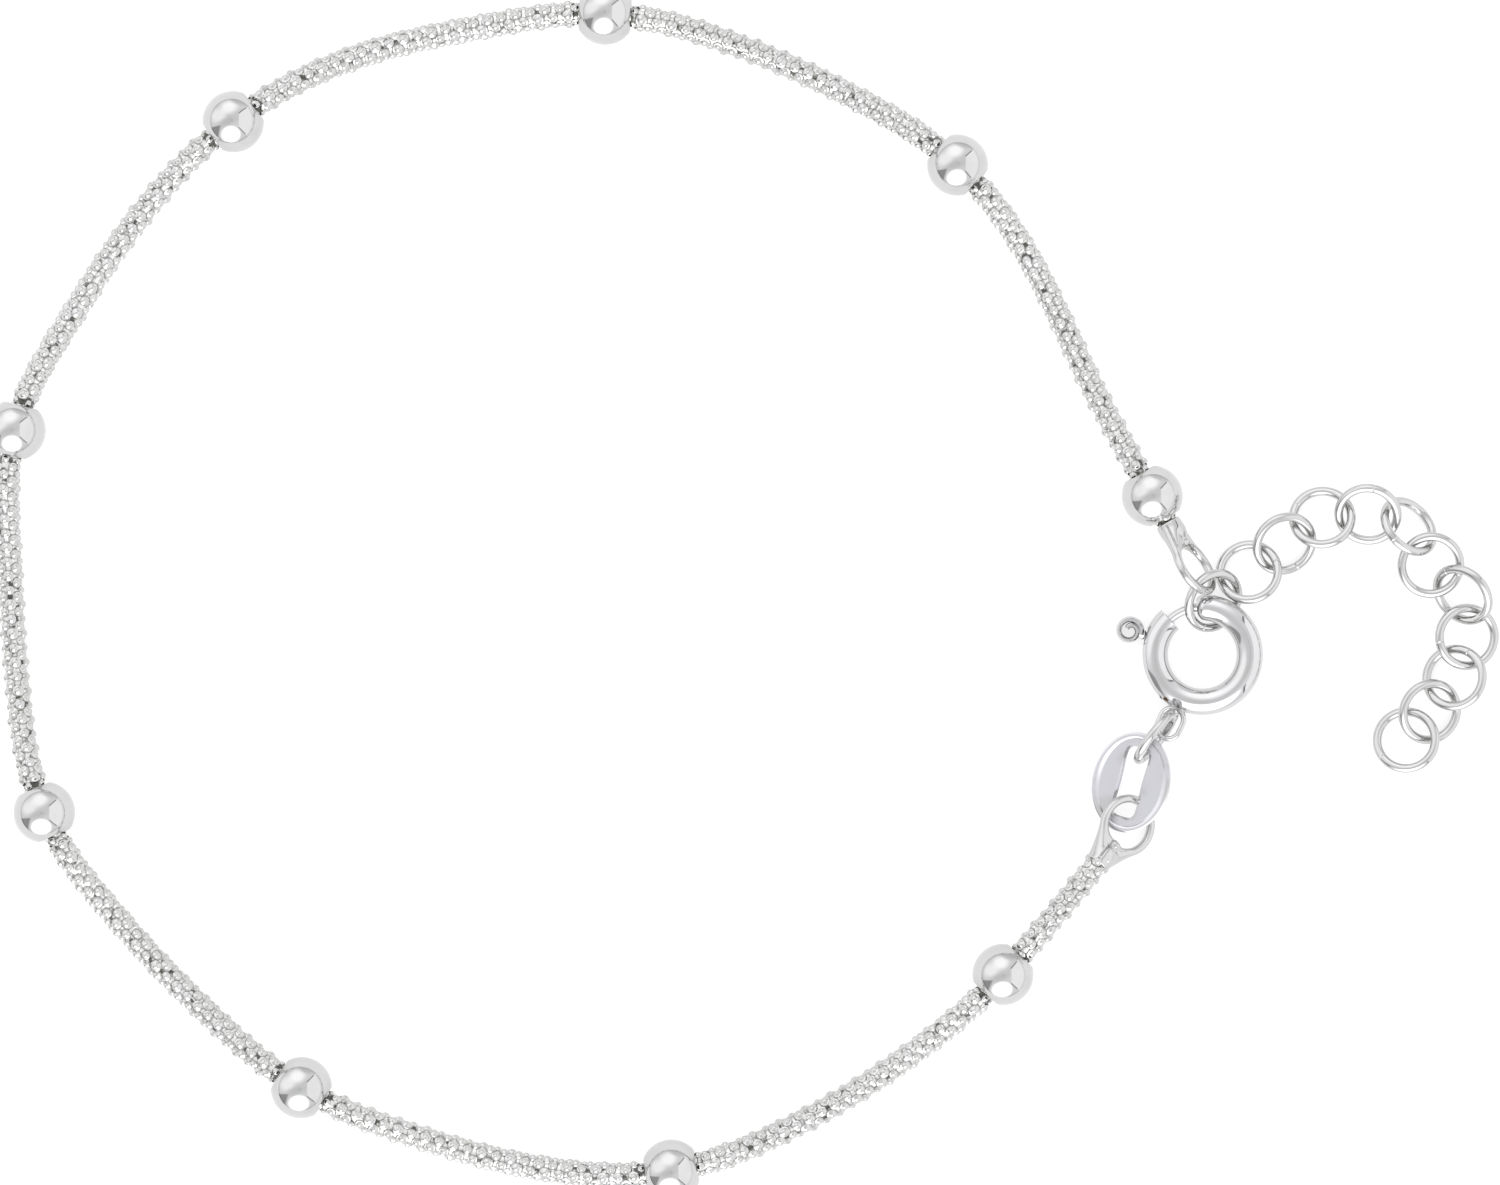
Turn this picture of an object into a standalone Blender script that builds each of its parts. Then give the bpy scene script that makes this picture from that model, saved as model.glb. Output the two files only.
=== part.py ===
"""A silver bead station bracelet, laid down as an open loop with its clasp closed.

Nine round beads sit along a knobbly chain. Each end of the chain is held in a cap with a wire loop.
A spring ring clasp, an oval tag link and a row of plain rings, the extender, join the two caps.
Lengths are in metres, +Z is up and the bracelet lies on the plane z = 0.
"""

import math

import bmesh
import bpy
import numpy as np
from mathutils import Matrix, Vector

MM = 0.001

# Moves the whole bracelet so that the middle of its box is over the origin
MIDDLE_SHIFT = 0.185 * MM

# Clearances
LINK_GAP = 0.10 * MM
CHAIN_GAP = 0.18 * MM
SEAT_GAP = 0.20 * MM
MEET_GAP = 0.36 * MM
BOLT_GAP = 0.14 * MM
SLOT_GAP = 0.12 * MM
REST_GAP = 0.02 * MM

# Chain
CHAIN_DIAMETER = 1.20 * MM
CHAIN_ENVELOPE = 1.35 * MM
CHAIN_STEP = 2.0
CHAIN_BEVEL_RESOLUTION = 2

# Beads
BEAD_DIAMETER = 3.00 * MM
BEAD_SIDES = 16
BEAD_BANDS = 9

# End caps, measured from the mouth that takes the chain
CAP_LENGTH = 4.11 * MM
CAP_WALL = 0.13 * MM
CAP_BORE_DEPTH = 0.95 * MM
CAP_FLOOR = 0.40 * MM
CAP_TAPER = 0.30 * MM
CAP_LOOP_WIDTH = 3.10 * MM
CAP_STRAP_WIDTH = 1.15 * MM
CAP_STRAP_POWER = 2
CAP_ROOT_DEPTH = 0.12 * MM
CAP_STEEPEST = 0.98
CAP_SIDES = 14
CAP_LOOP_STEPS = 28
CAP_STRAP_SIDES = 8

# Rings of the extender, and the jump ring
WIRE = 0.44 * MM
RING_DIAMETER = 3.28 * MM
RING_STEPS = 16
WIRE_SIDES = 6

# Spring ring clasp, its angles counted counterclockwise from +X
CLASP_DIAMETER = 5.95 * MM
CLASP_TUBE = 1.30 * MM
CLASP_STEPS = 44
CLASP_SIDES = 12
MOUTH_RIGHT = 90.0
MOUTH_LEFT = 132.4
SLOT_START = 155.0
SLOT_END = 225.0
EYELET_ANGLE = 245.2
EYELET_WIRE = 0.28 * MM
EYELET_WIDTH = 1.42 * MM
EYELET_REACH = 1.68 * MM
EYELET_STEPS = 18
EYELET_ROOT_DEPTH = 0.02 * MM
SLOT_STEPS = 16
SLOT_OVERSHOOT = 0.30 * MM
BORE_OVERSHOOT = 4.0

# The clasp's sprung bolt and its trigger
BOLT_WIRE = 0.44 * MM
BOLT_NOSE = 8.0
BOLT_TAIL = 9.0
BOLT_STEPS = 18
BOLT_SIDES = 8
TRIGGER_ANGLE = 161.5
TRIGGER_STEM = 0.34 * MM
TRIGGER_DIAMETER = 1.36 * MM
TRIGGER_HEIGHT = 0.74 * MM
TRIGGER_GAP = 0.16 * MM
TRIGGER_SIDES = 14
TRIGGER_EDGE = 0.16 * MM

# Oval tag link
TAG_LENGTH = 5.02 * MM
TAG_WIDTH = 3.84 * MM
TAG_THICKNESS = 0.27 * MM
TAG_RIM = 0.26 * MM
TAG_RECESS = 0.06 * MM
TAG_OPENING_LENGTH = 3.54 * MM
TAG_OPENING_WIDTH = 1.02 * MM
TAG_OPENING_FLARE = 0.30
TAG_OPENING_POWER = 0.5
TAG_OPENING_SLANT = 0.12 * MM
TAG_RIM_SLANT = 0.12
TAG_STEPS = 36

# Where the chain runs, clockwise from the cap next to the tag to the cap next to the extender.
# Columns: x and y in millimetres, and whether a bead sits there.
CHAIN_ROUTE = (
    (17.47, -12.88, False),
    (16.74, -13.74, False),
    (14.64, -16.25, False),
    (12.53, -18.71, True),
    (7.72, -22.93, False),
    (2.30, -26.21, False),
    (-3.71, -28.29, True),
    (-9.98, -28.31, False),
    (-16.11, -26.77, False),
    (-21.82, -24.25, True),
    (-26.77, -20.41, False),
    (-31.04, -15.90, False),
    (-34.40, -10.77, True),
    (-35.83, -4.67, False),
    (-36.23, 1.58, False),
    (-35.84, 7.93, True),
    (-33.21, 13.50, False),
    (-29.68, 18.68, False),
    (-25.15, 23.03, True),
    (-19.59, 26.16, False),
    (-13.32, 27.72, False),
    (-6.95, 28.30, True),
    (-0.73, 26.96, False),
    (5.07, 24.41, False),
    (10.30, 20.91, True),
    (13.98, 16.20, False),
    (16.62, 10.81, False),
    (19.83, 4.71, True),
    (21.10, 2.52, False),
)

ROUTE_STEPS = 40
HEADING_REACH = 0.05 * MM

# How each cap lies: height of its mouth, how far its loop dips, and how far its left side is lifted
CAP_TAG_SIDE = (1.535 * MM, 16.2, 20.0)
CAP_EXTENDER_SIDE = (BEAD_DIAMETER / 2.0, -7.2, -60.0)

# Where the links lie: x and y of their centres in millimetres
CLASP_PLACE = (22.33, -3.05)
HELD_RING_PLACE = (22.88, -0.41)
JUMP_RING_PLACE = (20.01, -7.07)
TAG_PLACE = (18.84, -9.32)

# Compass direction of the lifted side of each, and the leans that are not worked out from sizes
CLASP_LIFT_WAY = 0.0
CLASP_OVERHANG = 1.20 * MM
HELD_RING_LIFT_WAY = 143.0
HELD_RING_SHARE = 1.50
BOLT_CROSSING = 0.78 * MM
JUMP_RING_LIFT_WAY = 142.0
JUMP_RING_LEAN = 75.0
TAG_LIFT_WAY = 14.0
TAG_LEAN = 18.0
TAG_CLEARANCE = 0.33 * MM
TAG_HEADING = 75.0

# The extender, from the ring that the clasp holds to its free end. Columns: direction in degrees
# towards the next ring, the step to it as a share of the longest step that two linked rings allow,
# whether it passes over the next ring on its left (else under it), and the lean that it settles
# from: the lift of its left side in degrees and the height of its centre in millimetres. The first
# ring leans as the clasp makes it lean.
EXTENDER = (
    (38.4, 0.98, True, 0.0, 0.0),
    (38.6, 0.97, False, -20.0, 0.78),
    (34.8, 0.98, True, 20.0, 0.78),
    (4.0, 0.95, False, -20.0, 0.78),
    (-16.4, 0.91, True, 20.0, 0.80),
    (-60.4, 0.95, False, -26.0, 0.95),
    (-43.0, 0.92, False, 8.0, 1.10),
    (-82.3, 0.91, True, 34.0, 1.10),
    (-107.2, 0.91, False, 0.0, 1.02),
    (-124.8, 0.89, True, 22.0, 0.90),
    (-130.3, 0.79, False, -18.0, 0.74),
    (-130.3, 1.00, True, 20.0, 0.78),
)
CROSSING_SPARE = 0.07 * MM
SETTLING_ROUNDS = 60
CIRCLE_POINTS = 144

SHARP_ANGLE = math.radians(40.0)

# Finishes: base colour, metallic and roughness
SILVER = ((0.86, 0.86, 0.87, 1.0), 1.0, 0.16)
SHADED_SILVER = ((0.62, 0.62, 0.63, 1.0), 1.0, 0.30)


def clear_scene():
    for thing in list(bpy.data.objects):
        bpy.data.objects.remove(thing, do_unlink=True)


def finish(name, look):
    colour, metallic, roughness = look
    material = bpy.data.materials.new(name)
    material.use_nodes = True
    shader = material.node_tree.nodes["Principled BSDF"]
    shader.inputs["Base Color"].default_value = colour
    shader.inputs["Metallic"].default_value = metallic
    shader.inputs["Roughness"].default_value = roughness
    return material


def add_object(name, data, look=None, parent=None):
    thing = bpy.data.objects.new(name, data)
    bpy.context.scene.collection.objects.link(thing)
    if look is not None:
        data.materials.append(finish(name, look))
    if parent is not None:
        thing.parent = parent
    return thing


def mesh_from(name, builder):
    """Makes a mesh from a bmesh, with its faces pointing out and its curved sides smooth."""
    mesh = bpy.data.meshes.new(name)
    bmesh.ops.recalc_face_normals(builder, faces=builder.faces)
    builder.to_mesh(mesh)
    builder.free()
    mesh.shade_smooth()
    mesh.set_sharp_from_angle(angle=SHARP_ANGLE)
    return mesh


def join_loops(builder, loops, closed):
    """Bridges rings of vertices in order, back to the first one when closed, else with end faces."""
    pairs = list(zip(loops, loops[1:]))
    if closed:
        pairs.append((loops[-1], loops[0]))
    for first, second in pairs:
        count = len(first)
        for side in range(count):
            after = (side + 1) % count
            builder.faces.new((first[side], first[after], second[after], second[side]))
    if not closed:
        builder.faces.new(loops[0])
        builder.faces.new(loops[-1])


def turned(name, profile, sides, closed):
    """Turns a profile of (along, radius) pairs about +X, with a flat side facing straight down."""
    builder = bmesh.new()
    loops = []
    for along, radius in profile:
        loop = []
        for side in range(sides):
            angle = 2.0 * math.pi * (side + 0.5) / sides - 0.5 * math.pi
            spot = (along, radius * math.cos(angle), radius * math.sin(angle))
            loop.append(builder.verts.new(spot))
        loops.append(loop)
    join_loops(builder, loops, closed)
    return mesh_from(name, builder)


def swept(name, stations, sides, closed):
    """Sweeps an oval section through stations of (centre, across, up, half across, half up)."""
    builder = bmesh.new()
    loops = []
    for centre, across, up, half_across, half_up in stations:
        loop = []
        for side in range(sides):
            angle = 2.0 * math.pi * (side + 0.5) / sides
            spot = centre + across * (half_across * math.cos(angle)) + up * (half_up * math.sin(angle))
            loop.append(builder.verts.new(spot))
        loops.append(loop)
    join_loops(builder, loops, closed)
    return mesh_from(name, builder)


def arc_tube(name, start, end, radius, half_wire, steps, sides):
    """A round bar bent on a circle about +Z, from one angle in degrees to another."""
    stations = []
    for step in range(steps + 1):
        angle = math.radians(start + (end - start) * step / steps)
        out = Vector((math.cos(angle), math.sin(angle), 0.0))
        stations.append((out * radius, out, Vector((0.0, 0.0, 1.0)), half_wire, half_wire))
    return swept(name, stations, sides, closed=False)


def combine(target, helper, operation):
    """Adds a helper body to an object, or takes it away, with an exact Boolean."""
    modifier = target.modifiers.new(helper.name, "BOOLEAN")
    modifier.operation = operation
    modifier.solver = "EXACT"
    modifier.object = helper
    helper.hide_render = True
    helper.display_type = "WIRE"


def lifted(direction, angle):
    """Rotation that lifts the side of a level piece that lies towards a compass direction."""
    way = math.radians(direction)
    axis = Vector((math.sin(way), -math.cos(way), 0.0))
    return Matrix.Rotation(math.radians(angle), 4, axis)


def laid(place, height, lift_way, lean, heading=0.0):
    """Where a link lies: its centre, and the tilt of its plane after turning it to its heading."""
    x, y = place
    spot = Matrix.Translation((x * MM, y * MM, height))
    return spot @ lifted(lift_way, lean) @ Matrix.Rotation(math.radians(heading), 4, "Z")


def spline_through(points):
    """Natural cubic curve through plan points, sampled finely. Returns lengths, spots and knots."""
    points = np.array(points)
    knots = np.concatenate(([0.0], np.cumsum(np.linalg.norm(np.diff(points, axis=0), axis=1))))
    count = len(points)
    gaps = np.diff(knots)
    system = np.eye(count)
    target = np.zeros((count, 2))
    for row in range(1, count - 1):
        system[row, row - 1] = gaps[row - 1]
        system[row, row] = 2.0 * (gaps[row - 1] + gaps[row])
        system[row, row + 1] = gaps[row]
        rise = (points[row + 1] - points[row]) / gaps[row]
        fall = (points[row] - points[row - 1]) / gaps[row - 1]
        target[row] = 6.0 * (rise - fall)
    bends = np.linalg.solve(system, target)
    spots = [points[0]]
    for row in range(count - 1):
        gap = gaps[row]
        for step in range(1, ROUTE_STEPS + 1):
            far = gap * step / ROUTE_STEPS
            near = gap - far
            curve = (bends[row] * near**3 + bends[row + 1] * far**3) / (6.0 * gap)
            curve = curve + (points[row] / gap - bends[row] * gap / 6.0) * near
            curve = curve + (points[row + 1] / gap - bends[row + 1] * gap / 6.0) * far
            spots.append(curve)
    spots = np.array(spots)
    lengths = np.concatenate(([0.0], np.cumsum(np.linalg.norm(np.diff(spots, axis=0), axis=1))))
    return lengths, spots, lengths[::ROUTE_STEPS]


class ChainRoute:
    """The chain's centre line in space, by the length along it from the cap next to the tag."""

    def __init__(self):
        plan = [(x * MM, y * MM) for x, y, _ in CHAIN_ROUTE]
        self.lengths, self.spots, knots = spline_through(plan)
        self.total = self.lengths[-1]
        self.beads = [knots[row] for row, point in enumerate(CHAIN_ROUTE) if point[2]]
        bore_radius = bead_bore() / 2.0
        self.bead_half = math.sqrt((BEAD_DIAMETER / 2.0) ** 2 - bore_radius**2)
        self.high = bead_height()
        self.low = CHAIN_ENVELOPE / 2.0 + REST_GAP
        self.first_mouth = CAP_BORE_DEPTH - MEET_GAP
        self.last_mouth = self.beads[-1] + self.bead_half + SEAT_GAP

    def plan(self, length):
        x = np.interp(length, self.lengths, self.spots[:, 0])
        y = np.interp(length, self.lengths, self.spots[:, 1])
        return Vector((float(x), float(y), 0.0))

    def heading(self, length):
        """Direction of travel in the plane, as an angle."""
        step = self.plan(length + HEADING_REACH) - self.plan(length - HEADING_REACH)
        return math.atan2(step.y, step.x)

    def height(self, length):
        """Level through each bead, lying on the surface between beads, rising to the caps."""
        mouth_height, dip, _ = CAP_TAG_SIDE
        rise = math.tan(math.radians(dip))
        if length <= self.first_mouth:
            return mouth_height + rise * (length - self.first_mouth)
        start = self.first_mouth
        end = self.beads[0] - self.bead_half
        if length < end:
            share = (length - start) / (end - start)
            from_cap = mouth_height + rise * (end - start) * share * (1.0 - share)
            return from_cap + (self.high - mouth_height) * share * share * (3.0 - 2.0 * share)
        for here, there in zip(self.beads, self.beads[1:]):
            start = here + self.bead_half
            end = there - self.bead_half
            if start < length < end:
                share = (length - start) / (end - start)
                hang = (0.5 + 0.5 * math.cos(2.0 * math.pi * share)) ** 2
                return self.low + (self.high - self.low) * hang
        past = max(0.0, length - self.last_mouth)
        return self.high - past * math.tan(math.radians(CAP_EXTENDER_SIDE[1]))

    def point(self, length):
        spot = self.plan(length)
        spot.z = self.height(length)
        return spot


def chain_bore():
    return CHAIN_DIAMETER + 2.0 * CHAIN_GAP


def bead_bore():
    return chain_bore() / math.cos(math.pi / BEAD_SIDES)


def bead_height():
    """Height of a bead's centre when it lies on its lowest flat."""
    half_band = math.pi / 2.0 / BEAD_BANDS
    return BEAD_DIAMETER / 2.0 * math.cos(math.pi / BEAD_SIDES) * math.cos(half_band)


def bead_mesh():
    """A drilled ball, turned about its bore."""
    radius = BEAD_DIAMETER / 2.0
    bore_radius = bead_bore() / 2.0
    edge = math.asin(bore_radius / radius)
    band = math.pi / BEAD_BANDS
    profile = [(-radius * math.cos(edge), bore_radius)]
    for step in range(BEAD_BANDS + 1):
        angle = step * band
        if edge < angle < math.pi - edge:
            profile.append((-radius * math.cos(angle), radius * math.sin(angle)))
    profile.append((radius * math.cos(edge), bore_radius))
    return turned("bead", profile, BEAD_SIDES, closed=True)


def make_beads(route):
    mesh = bead_mesh()
    mesh.materials.append(finish("bead", SILVER))
    for number, length in enumerate(route.beads, start=1):
        bead = add_object(f"bead_{number}", mesh)
        bead.location = route.point(length)
        bead.rotation_euler = (0.0, 0.0, route.heading(length))


def make_chain(route):
    """One tube for each stretch of chain. Neighbours meet inside the bead between them."""
    ends = [0.0]
    ends.extend(route.beads[:-1])
    ends.append(route.last_mouth + CAP_BORE_DEPTH - MEET_GAP)
    for number, (start, end) in enumerate(zip(ends, ends[1:]), start=1):
        start_gap = MEET_GAP / 2.0 if number > 1 else 0.0
        end_gap = MEET_GAP / 2.0 if number < len(ends) - 1 else 0.0
        make_stretch(f"chain_{number}", route, start + start_gap, end - end_gap)


def make_stretch(name, route, start, end):
    curve = bpy.data.curves.new(name, "CURVE")
    curve.dimensions = "3D"
    curve.bevel_depth = CHAIN_DIAMETER / 2.0
    curve.bevel_resolution = CHAIN_BEVEL_RESOLUTION
    curve.use_fill_caps = True
    inner_start = start + route.bead_half
    inner_end = end - route.bead_half
    count = max(3, round((inner_end - inner_start) / (CHAIN_STEP * CHAIN_DIAMETER)) + 1)
    stops = [inner_start + (inner_end - inner_start) * step / (count - 1) for step in range(count)]
    if end > route.last_mouth:
        stops = [length for length in stops if length < route.beads[-1] - 2.0 * route.bead_half]
        stops.extend((route.beads[-1] - route.bead_half, route.last_mouth))
    stops = [start, *stops, end]
    spline = curve.splines.new("POLY")
    spline.points.add(len(stops) - 1)
    for point, length in zip(spline.points, stops):
        spot = route.point(length)
        point.co = (spot.x, spot.y, spot.z, 1.0)
    add_object(name, curve, SHADED_SILVER)


def cap_sleeve_mesh(name):
    """The cap's cup, bored from its mouth, with a tapered back that carries the loop."""
    bore = chain_bore() / math.cos(math.pi / CAP_SIDES) / 2.0
    outer = bore + CAP_WALL
    back = CAP_BORE_DEPTH + CAP_FLOOR
    profile = (
        (CAP_BORE_DEPTH, bore),
        (0.0, bore),
        (0.0, outer),
        (back - CAP_TAPER, outer),
        (back, outer - CAP_TAPER),
    )
    return turned(name, profile, CAP_SIDES, closed=False)


def cap_loop_mesh(name):
    """The cap's teardrop loop: a strap at the cup that narrows to plain wire round the far end."""
    bend = (CAP_LOOP_WIDTH - WIRE) / 2.0
    centre = CAP_LENGTH - WIRE / 2.0 - bend
    apex = CAP_BORE_DEPTH + WIRE / 2.0 + CAP_ROOT_DEPTH
    reach = centre - apex
    side_angle = math.asin(min(CAP_STEEPEST, bend / reach))
    sweep = math.pi / 2.0 + side_angle
    side_length = reach * math.cos(side_angle)
    arc_length = 2.0 * sweep * bend
    whole = 2.0 * side_length + arc_length
    stations = []
    up = Vector((0.0, 0.0, 1.0))
    for step in range(CAP_LOOP_STEPS):
        along = whole * (step + 0.5) / CAP_LOOP_STEPS
        mirror = 1.0 if along <= whole / 2.0 else -1.0
        along = min(along, whole - along)
        if along < side_length:
            spot = Vector((apex + along * math.cos(side_angle), along * math.sin(side_angle), 0.0))
            across = Vector((-math.sin(side_angle), math.cos(side_angle), 0.0))
        else:
            turn = (along - side_length) / bend
            angle = sweep - turn
            across = Vector((math.cos(angle), math.sin(angle), 0.0))
            spot = Vector((centre, 0.0, 0.0)) + across * bend
        spot.y *= mirror
        across.y *= mirror
        share = 1.0 - min(1.0, along / (whole / 2.0))
        half_up = WIRE / 2.0 + (CAP_STRAP_WIDTH - WIRE) / 2.0 * share**CAP_STRAP_POWER
        stations.append((spot, across, up, WIRE / 2.0, half_up))
    return swept(name, stations, CAP_STRAP_SIDES, closed=True)


def make_cap(name, mouth, heading, rest):
    """An end cap with its mouth at a point of the chain and its loop pointing along a heading."""
    _, dip, roll = rest
    cap = add_object(name, cap_sleeve_mesh(name), SILVER)
    loop = add_object(f"{name}_loop", cap_loop_mesh(f"{name}_loop"))
    turn = Matrix.Rotation(heading, 4, "Z") @ Matrix.Rotation(math.radians(dip), 4, "Y")
    place = Matrix.Translation(mouth) @ turn @ Matrix.Rotation(math.radians(roll), 4, "X")
    cap.matrix_world = place
    loop.matrix_world = place
    combine(cap, loop, "UNION")


def make_caps(route):
    tag_mouth = route.point(route.first_mouth)
    tag_heading = route.heading(route.first_mouth / 2.0) + math.pi
    make_cap("end_cap_tag_side", tag_mouth, tag_heading, CAP_TAG_SIDE)
    far_mouth = route.point(route.last_mouth)
    far_heading = route.heading((route.last_mouth + route.total) / 2.0)
    make_cap("end_cap_extender_side", far_mouth, far_heading, CAP_EXTENDER_SIDE)


def ring_mesh():
    """A closed wire ring in the plane z = 0."""
    half_wire = WIRE / 2.0
    radius = RING_DIAMETER / 2.0 - half_wire
    stations = []
    for step in range(RING_STEPS):
        angle = 2.0 * math.pi * step / RING_STEPS
        out = Vector((math.cos(angle), math.sin(angle), 0.0))
        stations.append((out * radius, out, Vector((0.0, 0.0, 1.0)), half_wire, half_wire))
    mesh = swept("ring", stations, WIRE_SIDES, closed=True)
    mesh.materials.append(finish("ring", SILVER))
    return mesh


def ring_radius():
    return (RING_DIAMETER - WIRE) / 2.0


def clasp_lie():
    """Height and lean of the clasp: one side on the surface, the other over the ring it holds."""
    spare = WIRE + LINK_GAP - REST_GAP
    slope = spare / (clasp_radius() + CLASP_OVERHANG)
    height = CLASP_TUBE / 2.0 + REST_GAP + clasp_radius() * slope
    return height, math.degrees(math.asin(slope))


def held_ring_lie():
    """Height and lean of the ring in the clasp: low under the tube, high over the thin bolt."""
    height, lean = clasp_lie()
    bolt_height = height - BOLT_CROSSING * math.sin(math.radians(lean))
    top = bolt_height + BOLT_WIRE / 2.0 + LINK_GAP
    slope = (top - REST_GAP) / (HELD_RING_SHARE * ring_radius())
    return WIRE / 2.0 + REST_GAP + ring_radius() * slope, math.degrees(math.asin(slope))


def extender_centres():
    """Plan centres of the extender's rings, each one step on from the ring before it."""
    longest = RING_DIAMETER - 2.0 * WIRE - LINK_GAP
    x, y = HELD_RING_PLACE
    centres = []
    for heading, share, *_ in EXTENDER:
        centres.append(np.array((x * MM, y * MM)))
        x += longest * share * math.cos(math.radians(heading)) / MM
        y += longest * share * math.sin(math.radians(heading)) / MM
    return centres


def slope_of(direction, angle):
    """Rise over run, in x and y, of a level plane after lifting its side towards a direction."""
    way = math.radians(direction)
    return math.tan(math.radians(angle)) * np.array((math.cos(way), math.sin(way)))


def circle_of(centre, plane):
    """Points round a ring's centre line, from its plan centre and its height and slopes."""
    turn = np.linspace(0.0, 2.0 * math.pi, CIRCLE_POINTS, endpoint=False)
    steep = math.hypot(plane[1], plane[2])
    uphill = np.array((plane[1], plane[2])) / steep if steep > 0.0 else np.array((1.0, 0.0))
    level_way = np.array((-uphill[1], uphill[0], 0.0))
    steep_way = np.array((*uphill, steep)) / math.hypot(1.0, steep)
    middle = np.array((*centre, plane[0]))
    return middle + ring_radius() * (
        np.cos(turn)[:, None] * level_way + np.sin(turn)[:, None] * steep_way
    )


def crossing(first, second, side_point, side_way):
    """Where two rings cross in plan on one side: the spot, how far the first is over, and the rise
    that keeps their wires clear of each other."""
    points = []
    tangents = []
    for ring in (first, second):
        kept = (ring[:, :2] - side_point) @ side_way > 0.0
        points.append(ring[kept])
        tangents.append((np.roll(ring, -1, axis=0) - np.roll(ring, 1, axis=0))[kept])
    apart = points[0][:, None, :2] - points[1][None, :, :2]
    one, two = np.unravel_index(np.argmin((apart**2).sum(axis=2)), apart.shape[:2])
    square = np.cross(tangents[0][one], tangents[1][two])
    rise = (WIRE + LINK_GAP + CROSSING_SPARE) * np.linalg.norm(square) / abs(square[2])
    return points[0][one][:2], points[0][one][2] - points[1][two][2], rise


def settled_planes(centres):
    """Centre height and slopes of each ring. Rings are nudged until each clears its neighbours."""
    radius = ring_radius()
    held_height, held_lean = held_ring_lie()
    planes = [np.array((held_height, *slope_of(HELD_RING_LIFT_WAY, held_lean)))]
    for index in range(1, len(centres)):
        after = centres[min(index + 1, len(centres) - 1)]
        way = after - centres[index - 1]
        left_side = math.degrees(math.atan2(way[1], way[0])) + 90.0
        _, _, _, left, height = EXTENDER[index]
        planes.append(np.array((height * MM, *slope_of(left_side, left))))
    # Slopes are scaled by the radius, so that heights and slopes give way alike
    scale = np.array((1.0, 1.0 / radius**2, 1.0 / radius**2))
    for _ in range(SETTLING_ROUNDS):
        for index in range(len(centres) - 1):
            step = centres[index + 1] - centres[index]
            left_way = np.array((-step[1], step[0]))
            middle = (centres[index] + centres[index + 1]) / 2.0
            for over, side_way in ((EXTENDER[index][2], left_way), (not EXTENDER[index][2], -left_way)):
                sign = 1.0 if over else -1.0
                first = circle_of(centres[index], planes[index])
                second = circle_of(centres[index + 1], planes[index + 1])
                here, above, rise = crossing(first, second, middle, side_way)
                lack = rise - sign * above
                if lack <= 0.0:
                    continue
                share = 0.5 if index > 0 else 1.0
                for ring, pull in ((index, share * sign), (index + 1, -share * sign)):
                    if ring > 0:
                        row = np.array((1.0, *(here - centres[ring])))
                        planes[ring] += pull * lack * scale * row / (row @ (scale * row))
        for plane in planes[1:]:
            slope = math.hypot(plane[1], plane[2])
            least = WIRE / 2.0 + REST_GAP + radius * slope / math.hypot(1.0, slope)
            plane[0] = max(plane[0], least)
    return planes


def make_extender():
    """Twelve rings. Each leans away from its neighbours, so that it passes through them."""
    mesh = ring_mesh()
    centres = extender_centres()
    for number, (centre, plane) in enumerate(zip(centres, settled_planes(centres)), start=1):
        ring = add_object(f"extender_ring_{number}", mesh)
        facing = Vector((-plane[1], -plane[2], 1.0)).normalized()
        turn = Vector((0.0, 0.0, 1.0)).rotation_difference(facing).to_matrix().to_4x4()
        ring.matrix_world = Matrix.Translation((*centre, plane[0])) @ turn
    jump_ring = add_object("jump_ring", mesh)
    standing = WIRE / 2.0 + REST_GAP + ring_radius() * math.sin(math.radians(JUMP_RING_LEAN))
    jump_ring.matrix_world = laid(JUMP_RING_PLACE, standing, JUMP_RING_LIFT_WAY, JUMP_RING_LEAN)


def clasp_radius():
    return (CLASP_DIAMETER - CLASP_TUBE) / 2.0


def bolt_bore():
    return BOLT_WIRE + 2.0 * BOLT_GAP


def eyelet_mesh(name):
    """A flat loop of wire on the clasp's outside, long way out, for the jump ring."""
    half_wire = EYELET_WIRE / 2.0
    bend = EYELET_WIDTH / 2.0 - half_wire
    near = CLASP_DIAMETER / 2.0 + bend - EYELET_ROOT_DEPTH
    far = CLASP_DIAMETER / 2.0 + EYELET_REACH - half_wire - bend
    angle_out = math.radians(EYELET_ANGLE)
    out = Vector((math.cos(angle_out), math.sin(angle_out), 0.0))
    side = Vector((-out.y, out.x, 0.0))
    up = Vector((0.0, 0.0, 1.0))
    stations = []
    for step in range(EYELET_STEPS):
        angle = 2.0 * math.pi * (step + 0.5) / EYELET_STEPS
        across = out * math.cos(angle) + side * math.sin(angle)
        middle = out * (far if math.cos(angle) > 0.0 else near)
        stations.append((middle + across * bend, across, up, half_wire, half_wire))
    return swept(name, stations, WIRE_SIDES, closed=True)


def slot_mesh(name):
    """The arc of space that the trigger's stem travels in, from the bore out through the wall."""
    inner = clasp_radius()
    outer = CLASP_DIAMETER / 2.0 + SLOT_OVERSHOOT
    half_up = TRIGGER_STEM / 2.0 + SLOT_GAP
    builder = bmesh.new()
    loops = []
    for step in range(SLOT_STEPS + 1):
        angle = math.radians(SLOT_START + (SLOT_END - SLOT_START) * step / SLOT_STEPS)
        out = Vector((math.cos(angle), math.sin(angle), 0.0))
        corners = ((inner, -half_up), (outer, -half_up), (outer, half_up), (inner, half_up))
        loops.append([builder.verts.new(out * reach + Vector((0.0, 0.0, z))) for reach, z in corners])
    join_loops(builder, loops, closed=False)
    return mesh_from(name, builder)


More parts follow.
